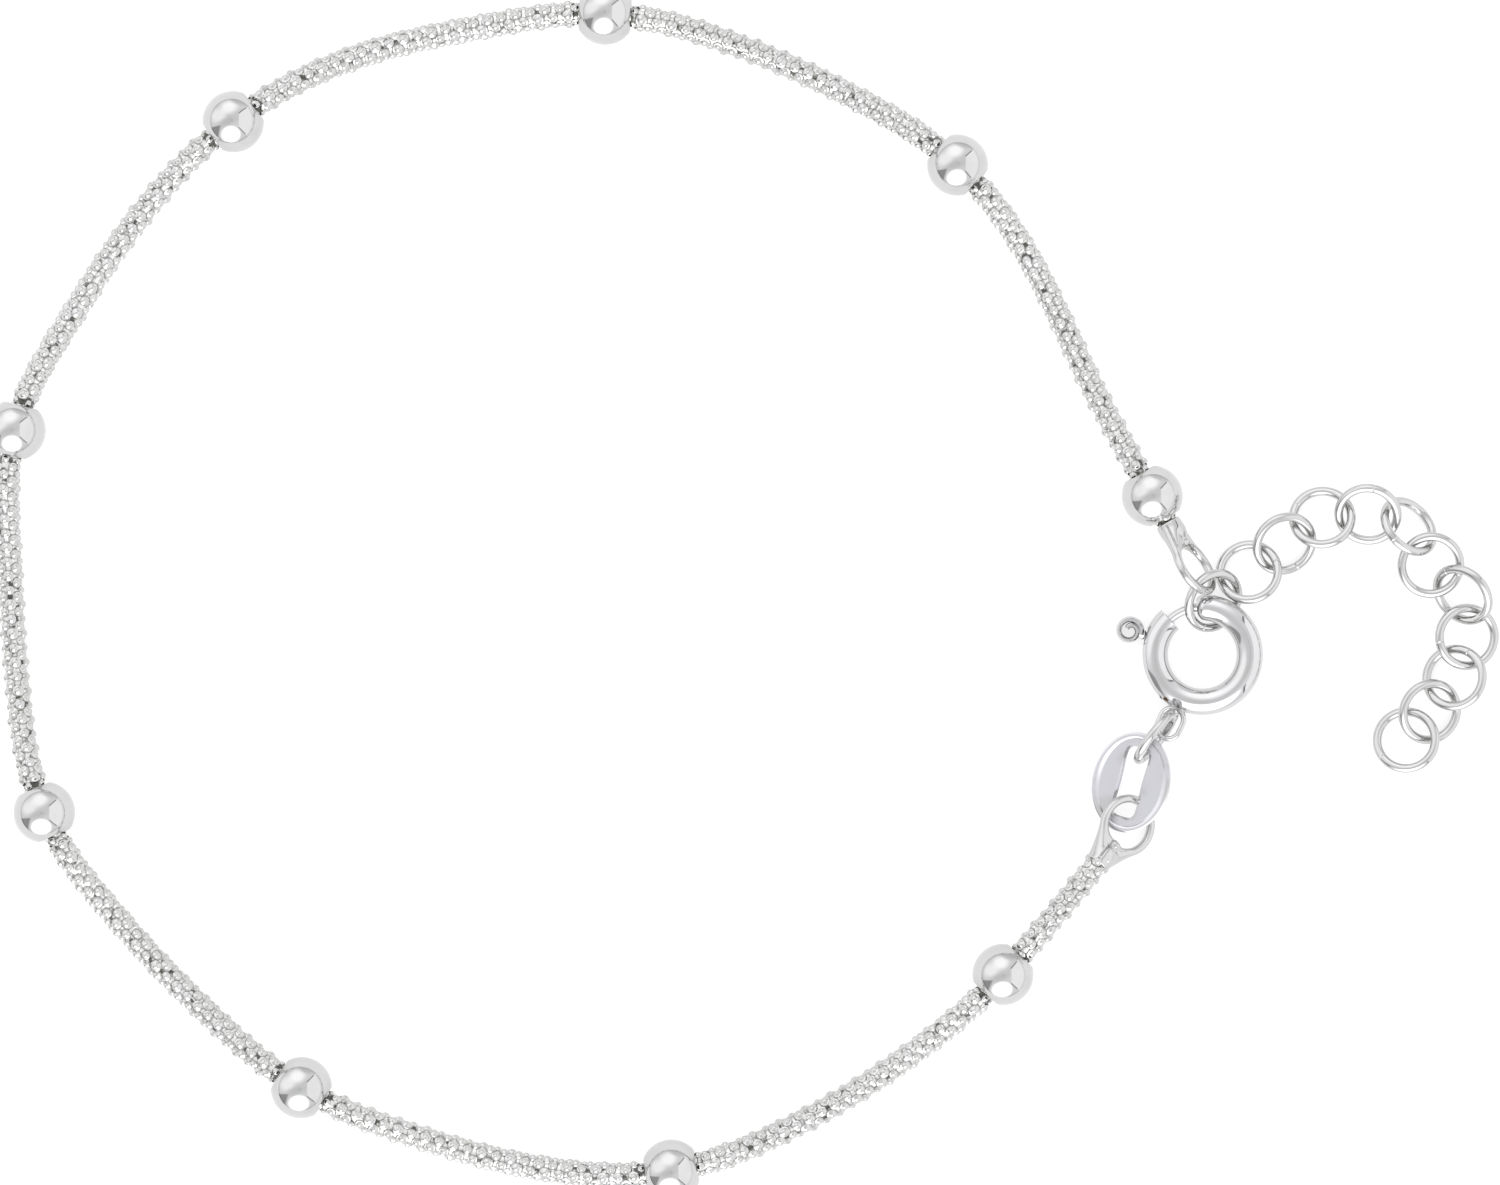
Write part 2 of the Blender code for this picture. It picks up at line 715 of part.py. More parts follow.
def make_clasp():
    """The clasp's hollow ring with its eyelet, and its bolt, both about the clasp's own axis."""
    frame = bpy.data.objects.new("clasp_frame", None)
    bpy.context.scene.collection.objects.link(frame)
    height, lean = clasp_lie()
    frame.matrix_world = laid(CLASP_PLACE, height, CLASP_LIFT_WAY, lean)
    radius = clasp_radius()
    body_end = MOUTH_RIGHT + 360.0
    ring = add_object(
        "clasp_ring",
        arc_tube("clasp_ring", MOUTH_LEFT, body_end, radius, CLASP_TUBE / 2.0, CLASP_STEPS, CLASP_SIDES),
        SILVER,
        frame,
    )
    bore_half = bolt_bore() / 2.0
    bore_start = MOUTH_LEFT - BORE_OVERSHOOT
    bore_end = body_end + BORE_OVERSHOOT
    bore = arc_tube("clasp_bore", bore_start, bore_end, radius, bore_half, CLASP_STEPS, BOLT_SIDES)
    combine(ring, add_object("clasp_bore", bore, None, frame), "DIFFERENCE")
    combine(ring, add_object("clasp_slot", slot_mesh("clasp_slot"), None, frame), "DIFFERENCE")
    combine(ring, add_object("clasp_eyelet", eyelet_mesh("clasp_eyelet"), None, frame), "UNION")
    make_bolt(frame, radius)


def make_bolt(frame, radius):
    """The bolt is a bent wire with its nose in the clasp's far end and a trigger outside the slot."""
    start = MOUTH_RIGHT - BOLT_NOSE
    end = TRIGGER_ANGLE + BOLT_TAIL
    wire = arc_tube("clasp_bolt", start, end, radius, BOLT_WIRE / 2.0, BOLT_STEPS, BOLT_SIDES)
    bolt = add_object("clasp_bolt", wire, SILVER, frame)
    knob_radius = TRIGGER_DIAMETER / 2.0
    knob_reach = CLASP_DIAMETER / 2.0 + TRIGGER_GAP + knob_radius
    out_angle = math.radians(TRIGGER_ANGLE)
    out = Vector((math.cos(out_angle), math.sin(out_angle), 0.0))
    stem_profile = ((radius, TRIGGER_STEM / 2.0), (knob_reach, TRIGGER_STEM / 2.0))
    stem = add_object(
        "clasp_bolt_stem", turned("clasp_bolt_stem", stem_profile, WIRE_SIDES, closed=False), None, frame
    )
    stem.rotation_euler = (0.0, 0.0, out_angle)
    half = TRIGGER_HEIGHT / 2.0
    knob_profile = (
        (-half, knob_radius - TRIGGER_EDGE),
        (-half + TRIGGER_EDGE, knob_radius),
        (half - TRIGGER_EDGE, knob_radius),
        (half, knob_radius - TRIGGER_EDGE),
    )
    knob = add_object(
        "clasp_bolt_knob", turned("clasp_bolt_knob", knob_profile, TRIGGER_SIDES, closed=False), None, frame
    )
    knob.location = out * knob_reach
    knob.rotation_euler = (0.0, -math.pi / 2.0, 0.0)
    combine(bolt, stem, "UNION")
    combine(bolt, knob, "UNION")


def make_tag():
    """A flat oval link with a raised rim, bare panels and a long opening that is narrower at its middle."""
    builder = bmesh.new()
    half_length = TAG_LENGTH / 2.0
    half_width = TAG_WIDTH / 2.0
    opening_length = TAG_OPENING_LENGTH / 2.0
    opening_width = TAG_OPENING_WIDTH / 2.0
    top = TAG_THICKNESS / 2.0
    panel = top - TAG_RECESS
    loops = []
    for step in range(TAG_STEPS):
        angle = 2.0 * math.pi * step / TAG_STEPS
        cosine = math.cos(angle)
        sine = math.sin(angle)
        outer = Vector((half_length * cosine, half_width * sine, 0.0))
        rim = Vector(((half_length - TAG_RIM) * cosine, (half_width - TAG_RIM) * sine, 0.0))
        along = math.copysign(abs(cosine) ** TAG_OPENING_POWER, cosine)
        across = math.copysign(abs(sine) ** TAG_OPENING_POWER, sine)
        flared = opening_width * (1.0 + TAG_OPENING_FLARE * along * along)
        inner = Vector((opening_length * along, flared * across, 0.0))
        brim = inner + Vector((TAG_OPENING_SLANT * along, TAG_OPENING_SLANT * across, 0.0))
        section = (
            (outer, -top),
            (outer, top),
            (rim, top),
            (rim + (brim - rim) * TAG_RIM_SLANT, panel),
            (brim, panel),
            (inner, -top),
        )
        loops.append([builder.verts.new(spot + Vector((0.0, 0.0, z))) for spot, z in section])
    join_loops(builder, loops, closed=True)
    tag = add_object("tag_link", mesh_from("tag_link", builder), SILVER)
    low_side = half_width * math.sin(math.radians(TAG_LEAN)) + top
    tag.matrix_world = laid(TAG_PLACE, TAG_CLEARANCE + low_side, TAG_LIFT_WAY, TAG_LEAN, TAG_HEADING)


def main():
    clear_scene()
    route = ChainRoute()
    make_beads(route)
    make_chain(route)
    make_caps(route)
    make_extender()
    make_clasp()
    make_tag()
    for thing in bpy.data.objects:
        if thing.parent is None:
            thing.location.x += MIDDLE_SHIFT
    bpy.context.view_layer.update()


main()
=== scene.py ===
"""A silver bead station bracelet lying on a white table, seen from straight above.

Every piece is modelled smooth and in full detail at the place of its CAD node, which it replaces.
Lengths are in metres, +Z is up and the table is the plane z = 0.
"""

from math import asin, atan2, ceil, copysign, cos, degrees, exp, pi, radians, sin, sqrt, tan, tau

import bmesh
import bpy
import numpy as np
from mathutils import Matrix, Vector

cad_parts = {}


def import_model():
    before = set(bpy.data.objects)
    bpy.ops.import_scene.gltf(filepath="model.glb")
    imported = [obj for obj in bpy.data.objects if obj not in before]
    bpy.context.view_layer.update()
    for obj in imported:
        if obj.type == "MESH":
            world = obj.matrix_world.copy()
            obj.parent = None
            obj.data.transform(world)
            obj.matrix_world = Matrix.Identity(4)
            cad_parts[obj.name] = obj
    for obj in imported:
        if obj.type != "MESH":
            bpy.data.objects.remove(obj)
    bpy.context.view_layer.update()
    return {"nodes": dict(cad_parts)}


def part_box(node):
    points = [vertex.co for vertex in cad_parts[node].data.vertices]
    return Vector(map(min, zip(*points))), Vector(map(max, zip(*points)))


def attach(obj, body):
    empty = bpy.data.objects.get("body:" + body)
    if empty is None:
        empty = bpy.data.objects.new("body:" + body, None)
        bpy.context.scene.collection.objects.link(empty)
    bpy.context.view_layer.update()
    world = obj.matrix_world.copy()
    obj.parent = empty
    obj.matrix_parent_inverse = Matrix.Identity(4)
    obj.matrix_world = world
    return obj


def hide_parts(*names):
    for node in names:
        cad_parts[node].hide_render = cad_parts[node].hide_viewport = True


MM = 0.001
UP = Vector((0.0, 0.0, 1.0))

# The CAD model's own shift, which puts the middle of its box over the origin
MIDDLE_SHIFT = 0.185 * MM

# Clearances, as in the CAD model
LINK_GAP = 0.10 * MM
CHAIN_GAP = 0.18 * MM
SEAT_GAP = 0.20 * MM
MEET_GAP = 0.36 * MM
BOLT_GAP = 0.14 * MM
SLOT_GAP = 0.12 * MM
REST_GAP = 0.02 * MM

# Squareness of a round section, and the angle from which an edge is sharp
ROUND = 2.0
SHARP_ANGLE = radians(38.0)

# Chain
CHAIN_DIAMETER = 1.20 * MM
CHAIN_ENVELOPE = 1.35 * MM
CORE_RADIUS = 0.46 * MM
CORE_SIDES = 20
CORE_STEP = 0.24 * MM
ROW_PITCH = 0.36 * MM
KNOBS_PER_ROW = 4
KNOB_SIZES = ((0.82 * MM, 0.74 * MM), (0.68 * MM, 0.62 * MM))
KNOB_SIDES = 16
KNOB_SQUARENESS = 2.15
KNOB_TURN_EACH_ROW = 45.0
CHAIN_TWIST = 0.75
CHAIN_ROLL_STEP = 31.0

# The knob's relief from its middle out: share of its half width, and height over its seat
KNOB_SEAT = 0.455 * MM
KNOB_BEND = 0.50 * MM
KNOB_RELIEF = (
    (0.00, 0.240 * MM), (0.20, 0.229 * MM), (0.36, 0.192 * MM), (0.48, 0.136 * MM),
    (0.58, 0.122 * MM), (0.70, 0.116 * MM), (0.82, 0.040 * MM), (0.92, -0.080 * MM),
)

# A knob's outline is round at its middle, and squared from this share of its half width on
KNOB_ROUND_SHARE = 0.6

# Greatest share by which chance makes a knob smaller
KNOB_CHANGE = 0.12
KNOB_SEED = 5

# Beside each bead's mouth the knobs are small, and the inside shows between them, with heavier painted
# shade standing in for the shade at the bead's hole
BARE_SPAN = (1.20 * MM, 1.62 * MM)
BARE_KNOB = 0.74
BEAD_SHADE_SPAN = 1.58 * MM

# Beads
BEAD_DIAMETER = 3.00 * MM
BEAD_BORE = 1.53 * MM
BEAD_LIP = 0.05 * MM
BEAD_LIP_STEPS = 5
BEAD_SIDES = 96
BEAD_BANDS = 48

# End caps, measured from the mouth that takes the chain
CAP_LENGTH = 4.11 * MM
CAP_BORE_DEPTH = 0.95 * MM

# Along the cup and its radius there, and where its arms start, in millimetres
CAP_CUP = (
    (0.60, 0.001), (0.60, 0.50), (0.00, 0.50), (0.00, 0.62), (0.25, 0.64),
    (0.60, 0.66), (0.90, 0.60), (1.10, 0.46), (1.20, 0.28), (1.24, 0.001),
)
CAP_ARM_START = (0.45, 0.16)

CAP_ARM_STEPS = 24
CAP_ARM_POWER = 1.5
CAP_ARM_SPREAD = 0.32 * MM
CAP_ARM_RISE = 0.06 * MM
CAP_LEAF_SPAN = (0.30 * MM, 1.48 * MM)
CAP_LEAF_WIDTH = (1.00 * MM, 1.50 * MM)
CAP_LEAF_THICK = (1.06 * MM, 0.60 * MM)
CAP_LEAF_STEPS = 12
CAP_VOXEL = 0.032
CAP_BLEND_ROUNDS = 40
CAP_GROOVE_DEPTH = 0.10 * MM
CAP_GROOVE_WIDTH = 0.045 * MM
CAP_GROOVE_SPAN = (0.12 * MM, 1.70 * MM)
CAP_GROOVE_EASE = 0.2
CAP_GROOVE_NEAREST = 0.1 * MM
CAP_GROOVE_WAY = (-0.35, 0.0, 1.0)
CAP_LOOP_WIDTH = 3.10 * MM
CAP_STRAP_WIDTH = 1.15 * MM
CAP_STRAP_POWER = 9
CAP_STRAP_SQUARENESS = 3.2
CAP_ROOT_DEPTH = 0.12 * MM
CAP_STEEPEST = 0.98
CAP_SIDES = 56
CAP_LOOP_STEPS = 128
CAP_STRAP_SIDES = 24

# Rings of the extender, and the jump ring
WIRE = 0.44 * MM
RING_DIAMETER = 3.28 * MM
RING_STEPS = 96
WIRE_SIDES = 24
RINGS = 12
SEAM_DEPTH = 0.018 * MM
SEAM_WIDTH = 0.07 * MM
SEAM_STEPS = 13
SEAM_SHARPNESS = 9.0

# Where the seams of the rings lie, in degrees
RING_SEAMS = (250.0, 20.0, 300.0, 150.0, 80.0, 220.0, 340.0, 120.0, 190.0, 60.0, 280.0, 215.0)

# Spring ring clasp, its angles counted counterclockwise from +X
CLASP_DIAMETER = 5.95 * MM
CLASP_TUBE = 1.30 * MM
CLASP_STEP = 2.5
CLASP_SIDES = 44
CLASP_SLOT_SIDES = 8
MOUTH_RIGHT = 96.0
MOUTH_TAPER = 9.0
MOUTH_TAPER_SHARE = 0.30
MOUTH_LEFT = 132.4
SLOT_START = 155.0
SLOT_END = 225.0
SLOT_SLACK = 0.01
EYELET_ANGLE = 245.2
EYELET_WIRE = 0.28 * MM
EYELET_WIDTH = 1.42 * MM
EYELET_REACH = 1.68 * MM
EYELET_STEPS = 72
EYELET_ROOT_DEPTH = 0.02 * MM

# The clasp's sprung bolt and its trigger, a strip rolled into a curl
BOLT_WIRE = 0.44 * MM
BOLT_NOSE = 8.0
BOLT_TAIL = 9.0
BOLT_TIP_SHARE = 0.02
BOLT_STEPS = 80
BOLT_SIDES = 24
TRIGGER_ANGLE = 161.5
TRIGGER_STEM = 0.34 * MM
TRIGGER_STEM_SHAPE = (
    (-0.65 * MM, TRIGGER_STEM / 2.0, TRIGGER_STEM / 2.0),
    (-0.03 * MM, TRIGGER_STEM / 2.0, TRIGGER_STEM / 2.0),
    (0.03 * MM, 0.26 * MM, 0.19 * MM),
    (0.14 * MM, 0.23 * MM, 0.20 * MM),
    (0.36 * MM, 0.16 * MM, 0.22 * MM),
)
TRIGGER_DIAMETER = 1.40 * MM
TRIGGER_HEIGHT = 0.74 * MM
TRIGGER_GAP = 0.04 * MM
TRIGGER_STRIP = 0.30 * MM
TRIGGER_TURNS = 1.45
TRIGGER_ROUND_SHARE = 0.42
TRIGGER_INNER = 0.17 * MM
TRIGGER_STEPS = 90
TRIGGER_SIDES = 16
TRIGGER_SQUARENESS = 2.3

# Oval tag link. TAG_EDGE is its bevel, and the shares place the creases of its panel
TAG_LENGTH = 5.02 * MM
TAG_WIDTH = 3.84 * MM
TAG_THICKNESS = 0.27 * MM
TAG_RIM = 0.26 * MM
TAG_RECESS = 0.06 * MM
TAG_EDGE = 0.045 * MM
TAG_EDGE_ROUND = 0.3
TAG_FOOT_RISE = 0.35
TAG_CREASE = 0.05
TAG_BRIM_CREASE = 0.02
TAG_BRIM_DROP = 0.4
TAG_INNER_CREASE = 0.2
TAG_OPENING_LENGTH = 3.54 * MM
TAG_OPENING_WIDTH = 1.02 * MM
TAG_OPENING_FLARE = 0.30
TAG_OPENING_POWER = 0.5
TAG_OPENING_SLANT = 0.12 * MM
TAG_RIM_SLANT = 0.12
TAG_STEPS = 240

# Where the chain runs, clockwise from the cap next to the tag to the cap next to the extender, as
# x and y in millimetres. Every third point after the first is a bead.
CHAIN_ROUTE = (
    (17.47, -12.88), (16.74, -13.74), (14.64, -16.25), (12.53, -18.71), (7.72, -22.93),
    (2.30, -26.21), (-3.71, -28.29), (-9.98, -28.31), (-16.11, -26.77), (-21.82, -24.25),
    (-26.77, -20.41), (-31.04, -15.90), (-34.40, -10.77), (-35.83, -4.67), (-36.23, 1.58),
    (-35.84, 7.93), (-33.21, 13.50), (-29.68, 18.68), (-25.15, 23.03), (-19.59, 26.16),
    (-13.32, 27.72), (-6.95, 28.30), (-0.73, 26.96), (5.07, 24.41), (10.30, 20.91),
    (13.98, 16.20), (16.62, 10.81), (19.83, 4.71), (21.10, 2.52),
)
ROUTE_BEADS = slice(3, None, 3)
ROUTE_STEPS = 40
HEADING_REACH = 0.05 * MM

# How each cap lies: height of its mouth, how far its loop dips, and how far its left side is lifted
CAP_TAG_SIDE = (1.535 * MM, 16.2, 20.0)
CAP_EXTENDER_SIDE = (BEAD_DIAMETER / 2.0, -7.2, -60.0)

# How the clasp and the tag lie, as in the CAD model
CLASP_PLACE = (22.33, -3.05)
CLASP_OVERHANG = 1.20 * MM
TAG_PLACE = (18.84, -9.32)
TAG_LIFT_WAY = 14.0
TAG_LEAN = 18.0
TAG_CLEARANCE = 0.33 * MM
TAG_HEADING = 75.0

# Camera: a long lens straight above the table
LENS_MM = 100.0
SENSOR_MM = 36.0
VIEW_WIDTH = 73.53 * MM
VIEW_CENTRE = (0.327 * MM, -0.010 * MM)
VIEW_LEVEL = 1.20 * MM
VIEW_NEAREST = 0.01
VIEW_FARTHEST = 10.0

# Colours, in linear values
SILVER_COLOUR = (0.570, 0.570, 0.566, 1.0)
SILVER_DULL = (0.535, 0.535, 0.528, 1.0)
CLASP_COLOUR = (0.600, 0.600, 0.604, 1.0)
WIRE_COLOUR = (0.530, 0.530, 0.524, 1.0)
CHAIN_COLOUR = (0.55, 0.55, 0.538, 1.0)
TAG_COLOUR = (0.640, 0.640, 0.668, 1.0)
TARNISH_BROWN = (0.090, 0.040, 0.010, 1.0)
TARNISH_BLACK = (0.030, 0.030, 0.026, 1.0)

# Roughness in the clear patches of the silver, and how much rougher the cloudy ones are
POLISHED = (0.02, 0.03)
CHAIN_FINISH = (0.08, 0.08)
TAG_FINISH = (0.20, 0.06)

# Cloudy patches and hairline scratches of the silver
CLOUD_SCALE = 900.0
CLOUD_DETAIL = 4.0
CLOUD_TINT_SPAN = (0.30, 0.52)
CLOUD_GLOSS_SPAN = (0.30, 0.70)
HAIRLINE_STRETCH = (1.0, 7.0, 3.0)
HAIRLINE_TURN = (0.4, 0.2, 0.7)
HAIRLINE_SCALE = 4200.0
HAIRLINE_DETAIL = 3.0
HAIRLINE_STRENGTH = 0.05
HAIRLINE_DEPTH = 0.01 * MM

# Tarnish where the eyelet is soldered on: where round the clasp and round its tube in degrees, how
# large and which colour. The edge runs between two shares of the size, made ragged by noise.
TARNISH_SPOTS = (
    (231.5, 38.0, 0.23 * MM, TARNISH_BROWN),
    (226.0, 22.0, 0.17 * MM, TARNISH_BLACK),
    (221.0, 17.0, 0.20 * MM, TARNISH_BLACK),
    (216.0, 15.0, 0.18 * MM, TARNISH_BLACK),
    (211.5, 13.0, 0.15 * MM, TARNISH_BLACK),
)
TARNISH_EDGE = (1.35, 0.95)
TARNISH_SCALE = 5200.0
TARNISH_DETAIL = 2.0

# Inside of the chain, a tube standing in for the hollow chain: how much of it is painted shade, in
# general and beside a bead
CORE_SHADE_SHARE = 0.36
CORE_SHADE_SHARE_AT_BEAD = 0.50
# Colour of the painted shade inside the chain, and of the silver between its specks
CORE_PAINTED_SHADE = (0.10, 0.10, 0.09, 1.0)
CORE_LIGHT = (0.72, 0.72, 0.70, 1.0)
CORE_ROUGHNESS = 0.35
CORE_SPECK_SCALE = 2600.0
CORE_SPECK_DETAIL = 1.0
CORE_SPECK_EDGE = 0.14

# Table
TABLE_COLOUR = (0.42, 0.42, 0.42, 1.0)
TABLE_ROUGHNESS = 0.9
TABLE_GLOW = 0.66
TABLE_SIZE = 4.0

# The light tent, drawn as a polished bead shows it from above, x to the right and y up, with the
# bead's rim at a distance of 1. Columns: middle x and y, half width and half height, turn in
# degrees, softness of the edge and brightness. Later rows lie over earlier ones.
TENT_BASE = 1.12
TENT_PATCHES = (
    (-0.42, 0.16, 0.28, 0.24, 20.0, 0.6, 1.50),
    (-0.10, 0.42, 0.30, 0.22, 15.0, 0.6, 1.70),
    (0.16, 0.62, 0.32, 0.10, -20.0, 0.7, 0.92),
    (-0.10, -0.03, 0.40, 0.15, 22.0, 0.8, 0.92),
    (0.20, 0.20, 0.28, 0.10, 42.0, 0.8, 1.02),
    (-0.05, -0.46, 0.33, 0.27, 12.0, 0.30, 2.80),
)

# The bright panel between the seams on the right
TENT_RIGHT = 1.42
TENT_RIGHT_START = 0.24
TENT_RIGHT_BLUR = 0.02
TENT_PANEL_BLUR = 0.01

# The dark corner, with each edge's turn in degrees, where it starts and where it is full
TENT_DARK = 0.46
TENT_DARK_CORNER = (-0.34, -0.15)
TENT_DARK_EDGES = ((4.0, 0.02, -0.03), (72.0, -0.02, 0.06))

# The hole at the top, the diagonal seams and the rim
TENT_HOLE = 0.07
TENT_HOLE_LEVEL = 0.85
TENT_SEAM_ANGLE = 45.0
TENT_SEAM_REACH = (0.34, 0.64)
TENT_SEAM_FADE = 0.03
TENT_SEAM_START = 0.1
TENT_SEAM_HALF = 0.022
TENT_SEAM_SHADE = 0.70
TENT_RIM = (0.63, 0.70)
TENT_RIM_SHADE = 0.22
TENT_TINT = (0.985, 0.985, 1.0, 1.0)


# Meshes


def add_object(name, data):
    thing = bpy.data.objects.new(name, data)
    bpy.context.scene.collection.objects.link(thing)
    return thing


def dress(name, shells, materials, place=None, body="bracelet"):
    """Makes a smooth shaded piece from shells, and puts it in the place of its CAD node."""
    mesh = mesh_of(f"{name}_detail", shells)
    if place is not None:
        mesh.transform(place)
    for material in materials:
        mesh.materials.append(material)
    piece = add_object(f"{name}_detail", mesh)
    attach(piece, body)
    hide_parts(name)


def mesh_of(name, shells):
    """One mesh from shells of (vertices, faces, material index)."""
    spots = []
    faces = []
    indices = []
    first = 0
    for vertices, shell_faces, index in shells:
        spots.append(np.asarray(vertices, dtype=float))
        faces.extend([tuple(first + corner for corner in face) for face in shell_faces])
        indices.extend([index] * len(shell_faces))
        first += len(vertices)
    mesh = bpy.data.meshes.new(name)
    mesh.from_pydata(np.concatenate(spots).tolist(), [], faces)
    mesh.polygons.foreach_set("material_index", indices)
    builder = bmesh.new()
    builder.from_mesh(mesh)
    bmesh.ops.recalc_face_normals(builder, faces=builder.faces)
    builder.to_mesh(mesh)
    builder.free()
    mesh.shade_smooth()
    mesh.set_sharp_from_angle(angle=SHARP_ANGLE)
    mesh.update()
    return mesh


def cell_of(row, column, rows, columns):
    """The four corners of one cell in a grid of points."""
    here = row * columns
    below = (row + 1) % rows * columns
    after = (column + 1) % columns
    return here + column, here + after, below + after, below + column


def points_of(mesh):
    spots = np.empty(len(mesh.vertices) * 3)
    mesh.vertices.foreach_get("co", spots)
    return spots.reshape(-1, 3)


def grid_faces(rows, columns, rows_closed):
    """The cells of a grid of points whose columns run round."""
    count = rows if rows_closed else rows - 1
    return [cell_of(row, column, rows, columns) for row in range(count) for column in range(columns)]


def tube_shell(loops, closed, index=0):
    """A skin over loops of points, closed on itself or with a fan of triangles at each end."""
    loops = np.asarray(loops, dtype=float)
    rows, columns, _ = loops.shape
    vertices = loops.reshape(-1, 3)
    faces = grid_faces(rows, columns, closed)
    if not closed:
        ends = np.array((loops[0].mean(axis=0), loops[-1].mean(axis=0)))
        near = len(vertices)
        vertices = np.concatenate((vertices, ends))
        last = (rows - 1) * columns
        for column in range(columns):
            after = (column + 1) % columns
            faces.append((column, after, near))
            faces.append((last + after, last + column, near + 1))
    return vertices, faces, index


def turned_shell(profile, sides, closed):
    """Turns a profile of (along, radius) pairs about +X."""
    turn = np.linspace(0.0, tau, sides, endpoint=False)
    loops = []
    for along, radius in profile:
        loop = (np.full(sides, along), radius * np.cos(turn), radius * np.sin(turn))
        loops.append(np.stack(loop, axis=1))
    return tube_shell(loops, closed)


def squared(values, squareness):
    """Draws values between -1 and 1 outwards, so that a circle turns into a rounded square."""
    return np.sign(values) * np.abs(values) ** (2.0 / squareness)


def swept_loops(stations, sides, squareness=ROUND):
    """Loops of a section swept through stations of (centre, across, up, half across, half up)."""
    turn = tau * (np.arange(sides) + 0.5) / sides
    out = squared(np.cos(turn), squareness)[:, None]
    high = squared(np.sin(turn), squareness)[:, None]
    loops = []
    for centre, across, up, half_across, half_up in stations:
        from_middle = out * half_across * np.array(across)
        loops.append(np.array(centre) + from_middle + high * half_up * np.array(up))
    return loops


def swept_shell(stations, sides, closed=False, squareness=ROUND, index=0):
    return tube_shell(swept_loops(stations, sides, squareness), closed, index)


def compass(angle):
    return Vector((cos(angle), sin(angle), 0.0))


def lifted(direction, angle):
    """Rotation that lifts the side of a level piece that lies towards a compass direction."""
    way = radians(direction)
    return Matrix.Rotation(radians(angle), 4, Vector((sin(way), -cos(way), 0.0)))


def laid(place, height, lift_way, lean, heading=0.0):
    """Where a link lies: its centre, and the tilt of its plane after turning it to its heading."""
    x, y = place
    spot = Matrix.Translation((x * MM + MIDDLE_SHIFT, y * MM, height))
    return spot @ lifted(lift_way, lean) @ Matrix.Rotation(radians(heading), 4, "Z")


# The chain's route, worked out as in the CAD model


def spline_through(points):
    """Natural cubic curve through plan points, sampled finely. Returns lengths, spots and knots."""
    points = np.array(points)
    knots = np.concatenate(([0.0], np.cumsum(np.linalg.norm(np.diff(points, axis=0), axis=1))))
    count = len(points)
    gaps = np.diff(knots)
    system = np.eye(count)
    target = np.zeros((count, 2))
    for row in range(1, count - 1):
        before, after = gaps[row - 1], gaps[row]
        system[row, row - 1 : row + 2] = (before, 2.0 * (before + after), after)
        rise = (points[row + 1] - points[row]) / after
        fall = (points[row] - points[row - 1]) / before
        target[row] = 6.0 * (rise - fall)
    bends = np.linalg.solve(system, target)
    spots = [points[0]]
    for row in range(count - 1):
        gap = gaps[row]
        for step in range(1, ROUTE_STEPS + 1):
            far = gap * step / ROUTE_STEPS
            near = gap - far
            curve = (bends[row] * near**3 + bends[row + 1] * far**3) / (6.0 * gap)
            curve = curve + (points[row] / gap - bends[row] * gap / 6.0) * near
            curve = curve + (points[row + 1] / gap - bends[row + 1] * gap / 6.0) * far
            spots.append(curve)
    spots = np.array(spots)
    lengths = np.concatenate(([0.0], np.cumsum(np.linalg.norm(np.diff(spots, axis=0), axis=1))))
    return lengths, spots, lengths[::ROUTE_STEPS]


class ChainRoute:
    """The chain's centre line in space, by the length along it from the cap next to the tag."""

    def __init__(self):
        plan = [(x * MM + MIDDLE_SHIFT, y * MM) for x, y in CHAIN_ROUTE]
        self.lengths, self.spots, knots = spline_through(plan)
        self.total = self.lengths[-1]
        self.beads = list(knots[ROUTE_BEADS])
        bore_radius = CHAIN_DIAMETER / 2.0 + CHAIN_GAP
        self.bead_half = sqrt((BEAD_DIAMETER / 2.0) ** 2 - bore_radius**2)
        self.high = BEAD_DIAMETER / 2.0
        self.low = CHAIN_ENVELOPE / 2.0 + REST_GAP
        self.first_mouth = CAP_BORE_DEPTH - MEET_GAP
        self.last_mouth = self.beads[-1] + self.bead_half + SEAT_GAP

    def plan(self, length):
        x = np.interp(length, self.lengths, self.spots[:, 0])
        y = np.interp(length, self.lengths, self.spots[:, 1])
        return Vector((float(x), float(y), 0.0))

    def heading(self, length):
        """Direction of travel in the plane, as an angle."""
        step = self.plan(length + HEADING_REACH) - self.plan(length - HEADING_REACH)
        return atan2(step.y, step.x)

    def height(self, length):
        """Level through each bead, lying on the surface between beads, rising to the caps."""
        mouth_height, dip, _ = CAP_TAG_SIDE
        rise = tan(radians(dip))
        if length <= self.first_mouth:
            return mouth_height + rise * (length - self.first_mouth)
        start = self.first_mouth
        end = self.beads[0] - self.bead_half
        if length < end:
            share = (length - start) / (end - start)
            from_cap = mouth_height + rise * (end - start) * share * (1.0 - share)
            return from_cap + (self.high - mouth_height) * share * share * (3.0 - 2.0 * share)
        for here, there in zip(self.beads, self.beads[1:]):
            start = here + self.bead_half
            end = there - self.bead_half
            if start < length < end:
                share = (length - start) / (end - start)
                hang = (0.5 + 0.5 * cos(tau * share)) ** 2
                return self.low + (self.high - self.low) * hang
        past = max(0.0, length - self.last_mouth)
        return self.high - past * tan(radians(CAP_EXTENDER_SIDE[1]))

    def point(self, length):
        spot = self.plan(length)
        spot.z = self.height(length)
        return spot

    def axes(self, length):
        """Unit vectors along the chain, to its left and up from it."""
        along = (self.point(length + HEADING_REACH) - self.point(length - HEADING_REACH)).normalized()
        left = UP.cross(along).normalized()
        return along, left, along.cross(left)


# Beads and chain


